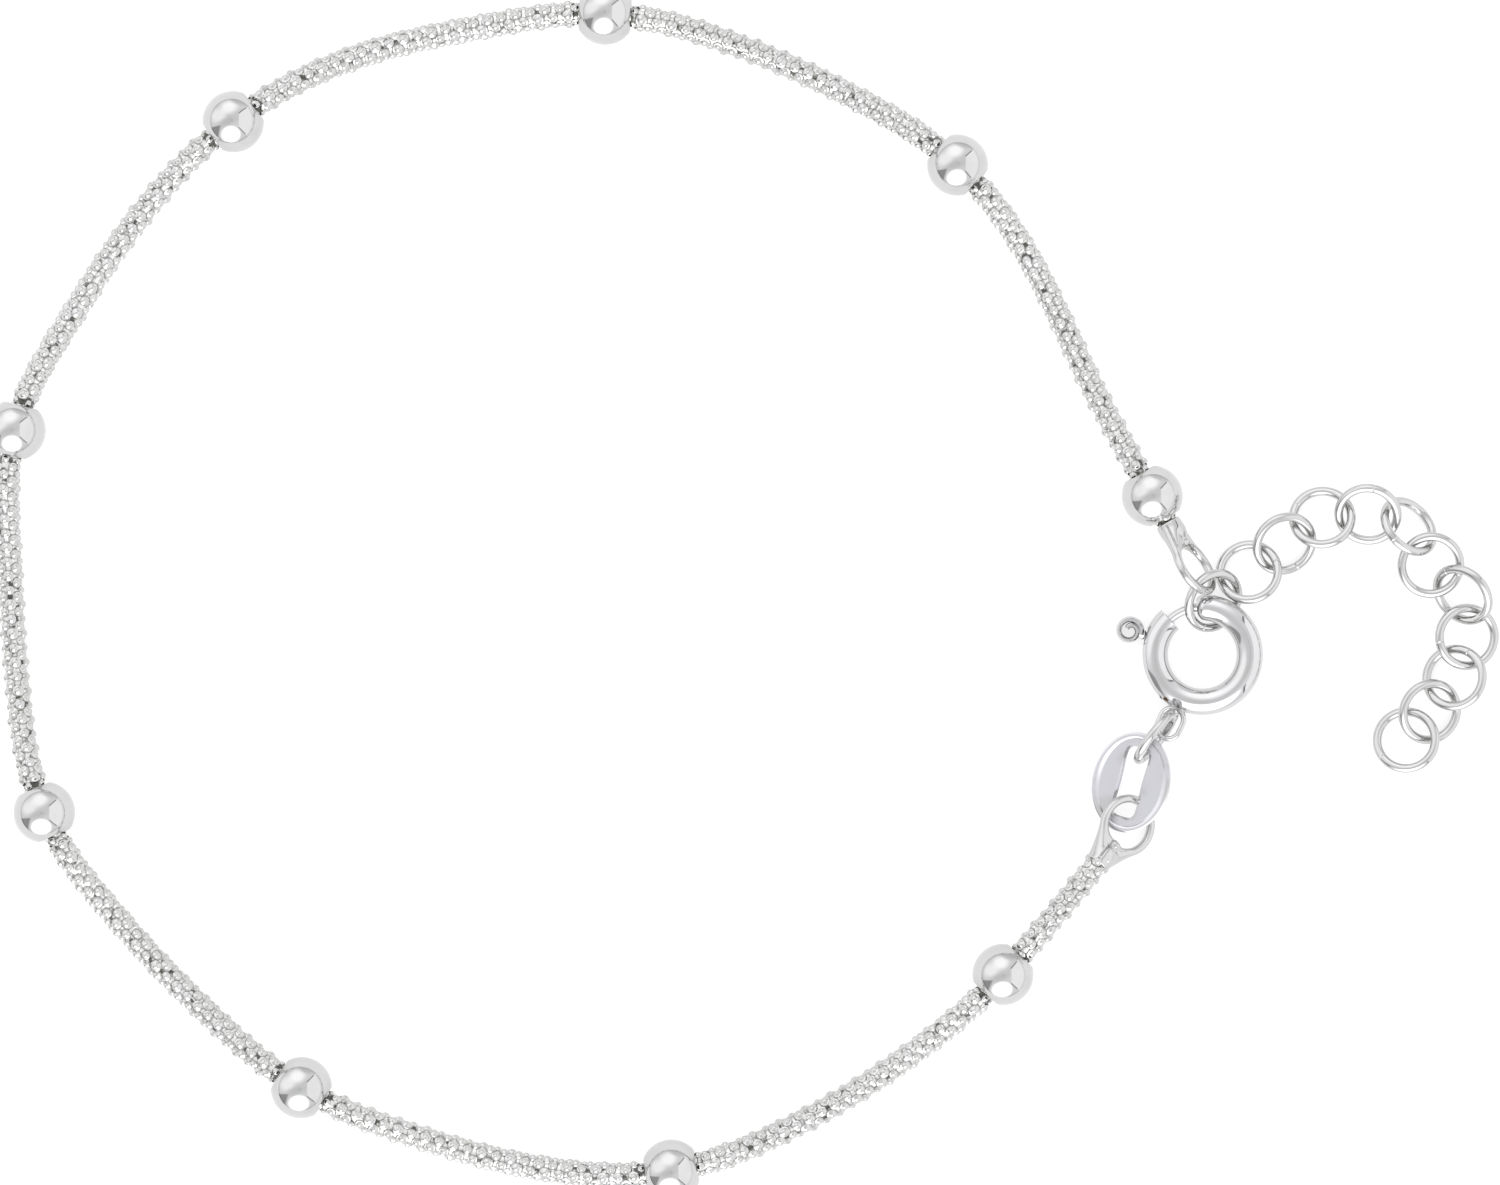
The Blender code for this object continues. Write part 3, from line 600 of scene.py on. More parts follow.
def bead_shell():
    """A polished ball, drilled through, with a rounded lip at each end of its bore."""
    radius = BEAD_DIAMETER / 2.0
    bore = BEAD_BORE / 2.0
    inner = radius - BEAD_LIP
    lip_angle = asin((bore + BEAD_LIP) / inner)
    lip_along = inner * cos(lip_angle)
    half = []
    for step in range(BEAD_LIP_STEPS + 1):
        share = step / BEAD_LIP_STEPS
        turn = -0.5 * pi + (0.5 * pi + lip_angle) * share
        half.append((lip_along + BEAD_LIP * cos(turn), bore + BEAD_LIP + BEAD_LIP * sin(turn)))
    profile = list(half)
    for band in range(1, BEAD_BANDS):
        angle = lip_angle + (pi - 2.0 * lip_angle) * band / BEAD_BANDS
        profile.append((radius * cos(angle), radius * sin(angle)))
    profile.extend((-along, reach) for along, reach in reversed(half))
    return turned_shell(profile, BEAD_SIDES, closed=True)


def make_beads(route, silver):
    for number, length in enumerate(route.beads, start=1):
        place = Matrix.Translation(route.point(length)) @ Matrix.Rotation(route.heading(length), 4, "Z")
        dress(f"bead_{number}", [bead_shell()], [silver], place)


def knob_pattern(length, width):
    """One knob: a ball in a soft rim. Points as (along, across, out) and its faces."""
    turn = tau * np.arange(KNOB_SIDES) / KNOB_SIDES
    along = squared(np.cos(turn), KNOB_SQUARENESS) * length / 2.0
    across = squared(np.sin(turn), KNOB_SQUARENESS) * width / 2.0
    size = length / KNOB_SIZES[0][0]
    top = [(0.0, 0.0, KNOB_RELIEF[0][1] * size)]
    loops = []
    for share, height in KNOB_RELIEF[1:]:
        round_share = max(0.0, 1.0 - share / KNOB_ROUND_SHARE)
        around = width / 2.0 * share
        x = along * share * (1.0 - round_share) + around * np.cos(turn) * round_share
        y = across * share * (1.0 - round_share) + around * np.sin(turn) * round_share
        loops.append(np.stack((x, y, np.full(KNOB_SIDES, height * size)), axis=1))
    vertices = np.concatenate([np.array(top)] + loops + [np.array([(0.0, 0.0, loops[-1][0, 2])])])
    faces = [(0, 1 + side, 1 + (side + 1) % KNOB_SIDES) for side in range(KNOB_SIDES)]
    cells = grid_faces(len(loops), KNOB_SIDES, False)
    faces.extend(tuple(1 + corner for corner in cell) for cell in cells)
    last = 1 + (len(loops) - 1) * KNOB_SIDES
    bottom = len(vertices) - 1
    faces.extend((last + (side + 1) % KNOB_SIDES, last + side, bottom) for side in range(KNOB_SIDES))
    return vertices, faces


def knob_shell(route, middle, roll, pattern, change):
    """A knob bent round the chain at a length along it and a turn about it."""
    vertices, faces = pattern
    vertices = vertices * change
    along, left, up = (np.array(way) for way in route.axes(middle))
    angle = roll + vertices[:, 1] / KNOB_BEND
    reach = KNOB_SEAT + vertices[:, 2]
    out = np.cos(angle)[:, None] * up + np.sin(angle)[:, None] * left
    spots = np.array(route.point(middle)) + vertices[:, 0:1] * along + reach[:, None] * out
    return spots, faces, 0


def make_chain(route, materials):
    """Each stretch between two beads is rows of four knobs, every row turned against the next.

    Materials, in order: the knobs' silver, the inside of the chain with painted shade, and its inside
    beside a bead with heavier painted shade.
    """
    patterns = [knob_pattern(*size) for size in KNOB_SIZES]
    chance = np.random.default_rng(KNOB_SEED)
    ends = [0.0]
    ends.extend(route.beads[:-1])
    ends.append(route.last_mouth + CAP_BORE_DEPTH - MEET_GAP)
    for number, (start, end) in enumerate(zip(ends, ends[1:]), start=1):
        if number > 1:
            start += MEET_GAP / 2.0
        if number < len(ends) - 1:
            end -= MEET_GAP / 2.0
        rows = round((end - start) / ROW_PITCH)
        pitch = (end - start) / rows
        shells = core_shells(route, start, end)
        for row in range(rows):
            middle = start + (row + 0.5) * pitch
            if middle > route.last_mouth:
                break
            bare = beside_bead(route, middle, *BARE_SPAN)
            roll = number * CHAIN_ROLL_STEP + row * (KNOB_TURN_EACH_ROW + CHAIN_TWIST)
            pattern = patterns[row // 2 % 2]
            for knob in range(KNOBS_PER_ROW):
                turn = radians(roll + knob * 360.0 / KNOBS_PER_ROW)
                change = 1.0 - KNOB_CHANGE * chance.random(3)
                if bare:
                    change = change * BARE_KNOB
                shells.append(knob_shell(route, middle, turn, pattern, change))
        dress(f"chain_{number}", shells, materials)


def beside_bead(route, length, nearest, farthest):
    """Whether a length along the chain lies between two distances from some bead's middle."""
    return any(nearest < abs(length - bead) < farthest for bead in route.beads)


def core_shells(route, start, end):
    """The inside of the chain, seen between the knobs, with heavier painted shade beside the beads."""
    steps = ceil((end - start) / CORE_STEP)
    shells = []
    for step in range(steps):
        stations = []
        for corner in (step, step + 1):
            length = start + (end - start) * corner / steps
            _, left, up = route.axes(length)
            stations.append((route.point(length), left, up, CORE_RADIUS, CORE_RADIUS))
        middle = start + (end - start) * (step + 0.5) / steps
        # Near a bead the inside takes the material with heavier painted shade
        index = 2 if beside_bead(route, middle, 0.0, BEAD_SHADE_SPAN) else 1
        shells.append(swept_shell(stations, CORE_SIDES, index=index))
    return shells


# End caps


def cap_cup_shell():
    """The cap's cup: hollow at its mouth, and rounded off at the back where the loop starts."""
    profile = [(along * MM, radius * MM) for along, radius in CAP_CUP]
    return turned_shell(profile, CAP_SIDES, closed=False)


def cap_arm_shell(side):
    """A broad arm from the cup to the side of the loop, where it has narrowed to the loop's wire."""
    bend = (CAP_LOOP_WIDTH - WIRE) / 2.0
    centre = Vector((CAP_LENGTH - WIRE / 2.0 - bend, 0.0, 0.0))
    start = Vector((CAP_ARM_START[0] * MM, side * CAP_ARM_START[1] * MM, 0.0))
    apart = centre - start
    opening = asin(bend / apart.length)
    heading = atan2(apart.y, apart.x) + side * opening
    way = compass(heading)
    across = Vector((-way.y, way.x, 0.0))
    length = sqrt(apart.length**2 - bend**2)
    stations = []
    for step in range(CAP_ARM_STEPS + 1):
        share = step / CAP_ARM_STEPS
        broad = (1.0 - share) ** CAP_ARM_POWER
        half_across = WIRE / 2.0 + CAP_ARM_SPREAD * broad
        half_up = WIRE / 2.0 + (CAP_STRAP_WIDTH - WIRE) / 2.0 * broad
        half_up += CAP_ARM_RISE * share * (1.0 - share)
        stations.append((start + way * length * share, across, UP, half_across, half_up))
    return swept_shell(stations, CAP_STRAP_SIDES)


def grooved(shell, facing):
    """Sinks a thin line along the cap, on the side that faces a direction across it."""
    vertices, faces, index = shell
    side = np.array((0.0, -facing[2], facing[1]))
    start, end = CAP_GROOVE_SPAN
    along = vertices[:, 0]
    off_line = vertices @ side
    outward = vertices @ np.array(facing)
    ease = CAP_GROOVE_EASE * (end - start)
    within = np.clip((along - start) / ease, 0.0, 1.0) * np.clip((end - along) / ease, 0.0, 1.0)
    depth = CAP_GROOVE_DEPTH * within * np.exp(-((off_line / CAP_GROOVE_WIDTH) ** 2))
    depth = depth * (outward > CAP_GROOVE_NEAREST)
    return vertices - depth[:, None] * np.array(facing), faces, index


def cap_leaf_shell():
    """The leaf between the arms, from the cup to the near edge of the loop's hole."""
    start, end = CAP_LEAF_SPAN
    stations = []
    for step in range(CAP_LEAF_STEPS + 1):
        share = step / CAP_LEAF_STEPS
        sizes = (CAP_LEAF_WIDTH, CAP_LEAF_THICK)
        broad, thick = (near * (1.0 - share) + far * share for near, far in sizes)
        spot = Vector((start + (end - start) * share, 0.0, 0.0))
        stations.append((spot, Vector((0.0, 1.0, 0.0)), UP, broad / 2.0, thick / 2.0))
    return swept_shell(stations, CAP_STRAP_SIDES)


def blended(shells):
    """Melts shells that run into each other into one skin, as solder and polish do."""
    mesh = mesh_of("blend", shells)
    # Blender's smallest voxel is 0.1 mm, so the work is done a thousand times larger
    mesh.transform(Matrix.Scale(1.0 / MM, 4))
    helper = add_object("blend", mesh)
    remesh = helper.modifiers.new("remesh", "REMESH")
    remesh.mode = "VOXEL"
    remesh.voxel_size = CAP_VOXEL
    smooth = helper.modifiers.new("smooth", "SMOOTH")
    smooth.iterations = CAP_BLEND_ROUNDS
    evaluated = helper.evaluated_get(bpy.context.evaluated_depsgraph_get())
    melted = bpy.data.meshes.new_from_object(evaluated)
    melted.transform(Matrix.Scale(MM, 4))
    bpy.data.objects.remove(helper, do_unlink=True)
    return points_of(melted), [tuple(face.vertices) for face in melted.polygons], 0


def cap_loop_shell():
    """The cap's teardrop loop: a strap at the cup that narrows to plain wire round the far end."""
    bend = (CAP_LOOP_WIDTH - WIRE) / 2.0
    centre = CAP_LENGTH - WIRE / 2.0 - bend
    apex = CAP_BORE_DEPTH + WIRE / 2.0 + CAP_ROOT_DEPTH
    reach = centre - apex
    side_angle = asin(min(CAP_STEEPEST, bend / reach))
    sweep = pi / 2.0 + side_angle
    side_length = reach * cos(side_angle)
    whole = 2.0 * side_length + 2.0 * sweep * bend
    loops = []
    for step in range(CAP_LOOP_STEPS):
        along = whole * (step + 0.5) / CAP_LOOP_STEPS
        mirror = 1.0 if along <= whole / 2.0 else -1.0
        along = min(along, whole - along)
        if along < side_length:
            spot = Vector((apex + along * cos(side_angle), along * sin(side_angle), 0.0))
            across = Vector((-sin(side_angle), cos(side_angle), 0.0))
        else:
            across = compass(sweep - (along - side_length) / bend)
            spot = Vector((centre, 0.0, 0.0)) + across * bend
        spot.y *= mirror
        across.y *= mirror
        share = 1.0 - min(1.0, along / (whole / 2.0))
        widening = share**CAP_STRAP_POWER
        half_up = WIRE / 2.0 + (CAP_STRAP_WIDTH - WIRE) / 2.0 * widening
        squareness = ROUND + (CAP_STRAP_SQUARENESS - ROUND) * min(1.0, 2.0 * widening)
        station = (spot, across, UP, WIRE / 2.0, half_up)
        loops.extend(swept_loops([station], CAP_STRAP_SIDES, squareness))
    return tube_shell(loops, closed=True)


def make_caps(route, silver):
    tag_heading = route.heading(route.first_mouth / 2.0) + pi
    far_heading = route.heading((route.last_mouth + route.total) / 2.0)
    caps = (
        ("end_cap_tag_side", route.point(route.first_mouth), tag_heading, CAP_TAG_SIDE),
        ("end_cap_extender_side", route.point(route.last_mouth), far_heading, CAP_EXTENDER_SIDE),
    )
    for name, mouth, heading, (mouth_height, dip, roll) in caps:
        mouth.z = mouth_height
        turn = Matrix.Rotation(heading, 4, "Z") @ Matrix.Rotation(radians(dip), 4, "Y")
        place = Matrix.Translation(mouth) @ turn @ Matrix.Rotation(radians(roll), 4, "X")
        shells = [cap_cup_shell(), cap_loop_shell(), cap_leaf_shell()]
        shells.extend(cap_arm_shell(side) for side in (1.0, -1.0))
        upward = place.to_3x3().inverted() @ Vector(CAP_GROOVE_WAY)
        facing = Vector((0.0, upward.y, upward.z)).normalized()
        dress(name, [grooved(blended(shells), facing)], [silver], place)


# Rings


def node_plane(frame, name):
    """Centre and facing of a round CAD node, from its own vertices."""
    spots = points_of(frame["nodes"][name].data)
    lowest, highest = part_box(name)
    centre = (np.array(lowest) + np.array(highest)) / 2.0
    _, _, ways = np.linalg.svd(spots - spots.mean(axis=0), full_matrices=False)
    facing = Vector(ways[2])
    if facing.z < 0.0:
        facing = -facing
    return Vector(centre), facing


def ring_shell(seam):
    """A round wire ring with a faint groove where its ends were soldered."""
    radius = (RING_DIAMETER - WIRE) / 2.0
    turns = np.linspace(0.0, tau, RING_STEPS, endpoint=False)
    fine = seam + np.linspace(-1.0, 1.0, SEAM_STEPS) * SEAM_WIDTH / radius
    turns = np.unique(np.concatenate((turns, fine % tau)))
    stations = []
    for turn in turns:
        away = abs((turn - seam + pi) % tau - pi) * radius / SEAM_WIDTH
        half_wire = WIRE / 2.0 - SEAM_DEPTH * exp(-SEAM_SHARPNESS * away * away)
        out = compass(turn)
        stations.append((out * radius, out, UP, half_wire, half_wire))
    return swept_shell(stations, WIRE_SIDES, closed=True)


def make_rings(frame, silver):
    """The extender's rings and the jump ring, each in the plane of its CAD node."""
    names = [f"extender_ring_{number}" for number in range(1, RINGS + 1)]
    names.append("jump_ring")
    for order, name in enumerate(names):
        centre, facing = node_plane(frame, name)
        place = Matrix.Translation(centre) @ UP.rotation_difference(facing).to_matrix().to_4x4()
        seam = radians(RING_SEAMS[order % len(RING_SEAMS)])
        dress(name, [ring_shell(seam)], [silver], place)


# Clasp


def clasp_radius():
    return (CLASP_DIAMETER - CLASP_TUBE) / 2.0


def clasp_place():
    """The clasp's frame: one side on the table, the other over the ring it holds."""
    spare = WIRE + LINK_GAP - REST_GAP
    slope = spare / (clasp_radius() + CLASP_OVERHANG)
    height = CLASP_TUBE / 2.0 + REST_GAP + clasp_radius() * slope
    return laid(CLASP_PLACE, height, 0.0, degrees(asin(slope)))


def clasp_tube_shell():
    """The hollow ring: an outer and an inner skin, joined at the mouth and round the slot."""
    radius = clasp_radius()
    outer = CLASP_TUBE / 2.0
    inner = BOLT_WIRE / 2.0 + BOLT_GAP
    slot_half = asin((TRIGGER_STEM / 2.0 + SLOT_GAP) / outer)
    strip = np.linspace(-slot_half, slot_half, CLASP_SLOT_SIDES + 1)
    rest = np.linspace(slot_half, tau - slot_half, CLASP_SIDES + 1)
    around = np.concatenate((strip[:-1], rest[:-1]))
    columns = len(around)
    turns = clasp_turns()
    rows = len(turns)
    vertices = []
    for reach in (outer, inner):
        for turn in turns:
            out = compass(radians(turn))
            past = max(0.0, 1.0 - (turns[-1] - turn) / MOUTH_TAPER)
            half = reach
            if reach == outer:
                half -= CLASP_TUBE / 2.0 * MOUTH_TAPER_SHARE * past * past
            for angle in around:
                # The bore's slot edges stand straight above the outer ones
                side = angle if reach == outer else inner_angle(angle, slot_half, outer, inner)
                vertices.append(out * (radius + half * cos(side)) + UP * (half * sin(side)))
    faces = []
    skin = rows * columns

    def is_open(row, column):
        within = SLOT_START - SLOT_SLACK < turns[row] and turns[row + 1] < SLOT_END + SLOT_SLACK
        return within and column < CLASP_SLOT_SIDES

    for row in range(rows - 1):
        for column in range(columns):
            if is_open(row, column):
                continue
            quad = cell_of(row, column, rows, columns)
            faces.append(quad)
            faces.append(tuple(skin + corner for corner in reversed(quad)))
            for other_row, other_column, edge in (
                (row - 1, column, (quad[0], quad[1])),
                (row + 1, column, (quad[2], quad[3])),
                (row, column - 1, (quad[3], quad[0])),
                (row, column + 1, (quad[1], quad[2])),
            ):
                at_end = other_row < 0 or other_row >= rows - 1
                if at_end or is_open(other_row, other_column % columns):
                    faces.append((edge[1], edge[0], skin + edge[0], skin + edge[1]))
    return np.array([tuple(spot) for spot in vertices]), faces, 0


def inner_angle(angle, slot_half, outer, inner):
    """Angle round the bore that pairs with one round the tube, so that the slot's walls are level."""
    inner_half = asin(min(1.0, outer * sin(slot_half) / inner))
    if abs(angle) <= slot_half:
        return angle / slot_half * inner_half
    share = (angle - slot_half) / (tau - 2.0 * slot_half)
    return inner_half + share * (tau - 2.0 * inner_half)


def clasp_turns():
    """Stations round the clasp in degrees, from its open mouth's left end, with the slot's ends."""
    stops = [MOUTH_LEFT, SLOT_START, SLOT_END, MOUTH_RIGHT + 360.0]
    turns = [MOUTH_LEFT]
    for start, end in zip(stops, stops[1:]):
        count = max(1, round((end - start) / CLASP_STEP))
        turns.extend(start + (end - start) * step / count for step in range(1, count + 1))
    return turns


def eyelet_shell():
    """A flat loop of wire on the clasp's outside, long way out, for the jump ring."""
    half_wire = EYELET_WIRE / 2.0
    bend = EYELET_WIDTH / 2.0 - half_wire
    near = CLASP_DIAMETER / 2.0 + bend - EYELET_ROOT_DEPTH
    far = CLASP_DIAMETER / 2.0 + EYELET_REACH - half_wire - bend
    out = compass(radians(EYELET_ANGLE))
    side = Vector((-out.y, out.x, 0.0))
    stations = []
    for step in range(EYELET_STEPS):
        angle = tau * (step + 0.5) / EYELET_STEPS
        across = out * cos(angle) + side * sin(angle)
        middle = out * (far if cos(angle) > 0.0 else near)
        stations.append((middle + across * bend, across, UP, half_wire, half_wire))
    return swept_shell(stations, WIRE_SIDES, closed=True)


def make_clasp(silver):
    place = clasp_place()
    half_tube = CLASP_TUBE / 2.0
    for angle, side, size, colour in TARNISH_SPOTS:
        out = compass(radians(angle))
        around = radians(side)
        spot = out * (clasp_radius() + half_tube * cos(around))
        spot += UP * half_tube * sin(around)
        tarnish(silver, place @ spot, size, colour)
    dress("clasp_ring", [clasp_tube_shell(), eyelet_shell()], [silver], place)


def bolt_wire_shell():
    """The bent wire that closes the mouth, with rounded ends."""
    start = MOUTH_RIGHT - BOLT_NOSE
    end = TRIGGER_ANGLE + BOLT_TAIL
    half_wire = BOLT_WIRE / 2.0
    radius = clasp_radius()
    span = radians(end - start) * radius
    stations = []
    for step in range(BOLT_STEPS + 1):
        share = 0.5 - 0.5 * cos(pi * step / BOLT_STEPS)
        from_end = min(share, 1.0 - share) * span
        dome = min(1.0, from_end / half_wire)
        half = half_wire * max(BOLT_TIP_SHARE, sqrt(1.0 - (1.0 - dome) ** 2))
        out = compass(radians(start + (end - start) * share))
        stations.append((out * radius, out, UP, half, half))
    return swept_shell(stations, BOLT_SIDES)


def trigger_shells():
    """The stem through the slot, and the strip curled round at its end."""
    out = compass(radians(TRIGGER_ANGLE))
    side = Vector((-out.y, out.x, 0.0))
    outer = TRIGGER_DIAMETER / 2.0
    knob = CLASP_DIAMETER / 2.0 + TRIGGER_GAP + outer
    stem = []
    for reach, half_side, half_up in TRIGGER_STEM_SHAPE:
        stem.append((out * (CLASP_DIAMETER / 2.0 + reach), side, UP, half_side, half_up))
    curl = []
    half_strip = TRIGGER_STRIP / 2.0
    for step in range(TRIGGER_STEPS + 1):
        share = step / TRIGGER_STEPS
        angle = radians(TRIGGER_ANGLE + 180.0) + tau * TRIGGER_TURNS * share
        inward = max(0.0, share - TRIGGER_ROUND_SHARE) / (1.0 - TRIGGER_ROUND_SHARE)
        radius = (outer - half_strip) * (1.0 - inward) + TRIGGER_INNER * inward
        across = compass(angle)
        curl.append((out * knob + across * radius, across, UP, half_strip, TRIGGER_HEIGHT / 2.0))
    curl_shell = swept_shell(curl, TRIGGER_SIDES, squareness=TRIGGER_SQUARENESS)
    return [swept_shell(stem, TRIGGER_SIDES), curl_shell]


def make_bolt(silver):
    shells = [bolt_wire_shell(), *trigger_shells()]
    dress("clasp_bolt", shells, [silver], clasp_place(), body="bolt")


# Tag


def between(start, end, share, rise=0.0):
    """A point on the way from start to end, raised by a height."""
    return start + (end - start) * share + np.array((0.0, 0.0, rise))


def tag_loop(cosine, sine):
    """The tag's section at one place round it, from its underside over the rim to the opening."""
    top = TAG_THICKNESS / 2.0
    panel = top - TAG_RECESS
    bevel = TAG_EDGE * TAG_EDGE_ROUND

    def oval(inset, height):
        half_length = TAG_LENGTH / 2.0 - inset
        half_width = TAG_WIDTH / 2.0 - inset
        return np.array((half_length * cosine, half_width * sine, height))

    along = copysign(abs(cosine) ** TAG_OPENING_POWER, cosine)
    across = copysign(abs(sine) ** TAG_OPENING_POWER, sine)
    flared = TAG_OPENING_WIDTH / 2.0 * (1.0 + TAG_OPENING_FLARE * along * along)
    inner = np.array((TAG_OPENING_LENGTH / 2.0 * along, flared * across, -top))
    slant = np.array((TAG_OPENING_SLANT * along, TAG_OPENING_SLANT * across, 0.0))
    brim = inner + slant
    brim[2] = panel
    rim = oval(TAG_RIM, panel)
    foot = between(rim, brim, TAG_RIM_SLANT)
    return (
        oval(TAG_EDGE, -top),
        oval(bevel, bevel - top),
        oval(0.0, TAG_EDGE - top),
        oval(0.0, top - TAG_EDGE),
        oval(bevel, top - bevel),
        oval(TAG_EDGE, top),
        oval(TAG_RIM - TAG_EDGE, top),
        oval(TAG_RIM - bevel, top - bevel),
        between(foot, rim, 0.5, TAG_RECESS * TAG_FOOT_RISE),
        foot,
        between(foot, brim, TAG_CREASE),
        between(foot, brim, 0.5),
        between(brim, foot, TAG_CREASE),
        between(brim, foot, TAG_BRIM_CREASE),
        between(brim, brim, 0.0, -TAG_EDGE * TAG_BRIM_DROP),
        between(inner, inner, 0.0, TAG_EDGE),
        inner + slant * TAG_INNER_CREASE,
    )


def make_tag(silver):
    """A flat oval link with a raised rim, bare panels and a long opening narrower at its middle."""
    turns = [tau * (step + 0.5) / TAG_STEPS for step in range(TAG_STEPS)]
    loops = [tag_loop(cos(turn), sin(turn)) for turn in turns]
    height = TAG_CLEARANCE + TAG_WIDTH / 2.0 * sin(radians(TAG_LEAN)) + TAG_THICKNESS / 2.0
    place = laid(TAG_PLACE, height, TAG_LIFT_WAY, TAG_LEAN, TAG_HEADING)
    dress("tag_link", [tube_shell(loops, closed=True)], [silver], place)


# Materials


class Shading:
    """Writes arithmetic, noise and blends as shader nodes. Values are sockets or plain values."""

    def __init__(self, tree):
        self.tree = tree

    def fill(self, socket, value):
        if isinstance(value, bpy.types.NodeSocket):
            self.tree.links.new(value, socket)
        else:
            socket.default_value = value

    def new(self, kind, output, inputs, **settings):
        """A node with its settings and inputs, by name or number. Returns one of its outputs."""
        node = self.tree.nodes.new(kind)
        for name, setting in settings.items():
            setattr(node, name, setting)
        for name, value in inputs.items():
            self.fill(node.inputs[name], value)
        return node.outputs[output]

    def place(self, kind="Object"):
        return self.new("ShaderNodeTexCoord", kind, {})

    def noise(self, place, scale, detail):
        inputs = {"Vector": place, "Scale": scale, "Detail": detail}
        return self.new("ShaderNodeTexNoise", "Fac", inputs)

    def mixed(self, share, first, second):
        """Blends two colours by a share of 0 to 1."""
        inputs = {"Factor": share, "A": first, "B": second}
        return self.new("ShaderNodeMix", "Result", inputs, data_type="RGBA")

    def vector(self, operation, output, *values):
        return self.new("ShaderNodeVectorMath", output, dict(enumerate(values)), operation=operation)

    def do(self, operation, *values):
        return self.new("ShaderNodeMath", "Value", dict(enumerate(values)), operation=operation)

    def add(self, first, second):
        return self.do("ADD", first, second)

    def times(self, *values):
        total = values[0]
        for value in values[1:]:
            total = self.do("MULTIPLY", total, value)
        return total

    def length(self, x, y):
        return self.do("SQRT", self.add(self.times(x, x), self.times(y, y)))

    def mapped(self, value, start, end, low=0.0, high=1.0, interpolation="LINEAR"):
        """Takes a value from one range to another, and holds it there."""
        inputs = {"Value": value, "From Min": start, "From Max": end, "To Min": low, "To Max": high}
        return self.new("ShaderNodeMapRange", "Result", inputs, interpolation_type=interpolation)

    def ramp(self, value, start, end):
        """Eases from 0 at the start value to 1 at the end value."""
        span = (start, end, 0.0, 1.0) if start < end else (end, start, 1.0, 0.0)
        return self.mapped(value, *span, "SMOOTHSTEP")

    def across(self, x, y, angle):
        """Distance across a line through the middle that runs at an angle."""
        way = radians(angle)
        return self.add(self.times(x, -sin(way)), self.times(y, cos(way)))

    def towards(self, value, goal, share):
        """Blends a value towards a goal by a share of 0 to 1."""
        rest = self.do("SUBTRACT", 1.0, share)
        return self.add(self.times(value, rest), self.times(goal, share))


def new_material(name):
    material = bpy.data.materials.new(name)
    material.use_nodes = True
    return material, Shading(material.node_tree), material.node_tree.nodes["Principled BSDF"]


def silver_material(name, colour, dull, finish):
    """Polished silver: fine hairline scratches, and faint cloudy patches in its gloss and colour."""
    material, shading, shader = new_material(name)
    shader.inputs["Metallic"].default_value = 1.0
    place = shading.place()
    clouds = shading.noise(place, CLOUD_SCALE, CLOUD_DETAIL)
    cloudy = shading.mapped(clouds, *CLOUD_TINT_SPAN)
    shading.fill(shader.inputs["Base Color"], shading.mixed(cloudy, dull, colour))
    roughness, haze = finish
    gloss = shading.mapped(clouds, *CLOUD_GLOSS_SPAN, roughness, roughness + haze)
    shading.fill(shader.inputs["Roughness"], gloss)
    stretch = {"Vector": place, "Scale": HAIRLINE_STRETCH, "Rotation": HAIRLINE_TURN}
    stretched = shading.new("ShaderNodeMapping", "Vector", stretch)
    hairlines = shading.noise(stretched, HAIRLINE_SCALE, HAIRLINE_DETAIL)
    relief = {"Height": hairlines, "Strength": HAIRLINE_STRENGTH, "Distance": HAIRLINE_DEPTH}
    shading.fill(shader.inputs["Normal"], shading.new("ShaderNodeBump", "Normal", relief))
    return material


def tarnish(material, spot, size, colour):
    """Darkens a silver material round one spot, with a ragged edge."""
    shading = Shading(material.node_tree)
    base = material.node_tree.nodes["Principled BSDF"].inputs["Base Color"]
    place = shading.place()
    far = shading.vector("DISTANCE", "Value", place, spot)
    ragged = shading.noise(place, TARNISH_SCALE, TARNISH_DETAIL)
    reach = shading.add(far, shading.times(ragged, size))
    outer, inner = TARNISH_EDGE
    share = shading.ramp(reach, size * outer, size * inner)
    shading.fill(base, shading.mixed(share, base.links[0].from_socket, colour))


def core_material(name, shade_share):
    """The inside of the chain between the knobs, standing in for the hollow chain: silver with specks
    of painted shade.
    """
    material, shading, shader = new_material(name)
    shader.inputs["Metallic"].default_value = 1.0
    shader.inputs["Roughness"].default_value = CORE_ROUGHNESS
    # Noise specks below the share are painted shade, the rest silver
    specks = shading.noise(shading.place(), CORE_SPECK_SCALE, CORE_SPECK_DETAIL)
    light = shading.mapped(specks, shade_share, shade_share + CORE_SPECK_EDGE)
    shading.fill(shader.inputs["Base Color"], shading.mixed(light, CORE_PAINTED_SHADE, CORE_LIGHT))
    return material


def table_material():
    """A matt white table that is lit so brightly that hardly a shadow is left on it."""
    material, _, shader = new_material("table")
    shader.inputs["Base Color"].default_value = TABLE_COLOUR
    shader.inputs["Roughness"].default_value = TABLE_ROUGHNESS
    shader.inputs["Specular IOR Level"].default_value = 0.0
    shader.inputs["Emission Color"].default_value = (1.0, 1.0, 1.0, 1.0)
    shader.inputs["Emission Strength"].default_value = TABLE_GLOW
    return material


# Table, light and camera


def make_table():
    half = TABLE_SIZE / 2.0
    corners = [(-half, -half, 0.0), (half, -half, 0.0), (half, half, 0.0), (-half, half, 0.0)]
    mesh = bpy.data.meshes.new("table")
    mesh.from_pydata(corners, [], [(0, 1, 2, 3)])
    mesh.materials.append(table_material())
    table = add_object("table", mesh)


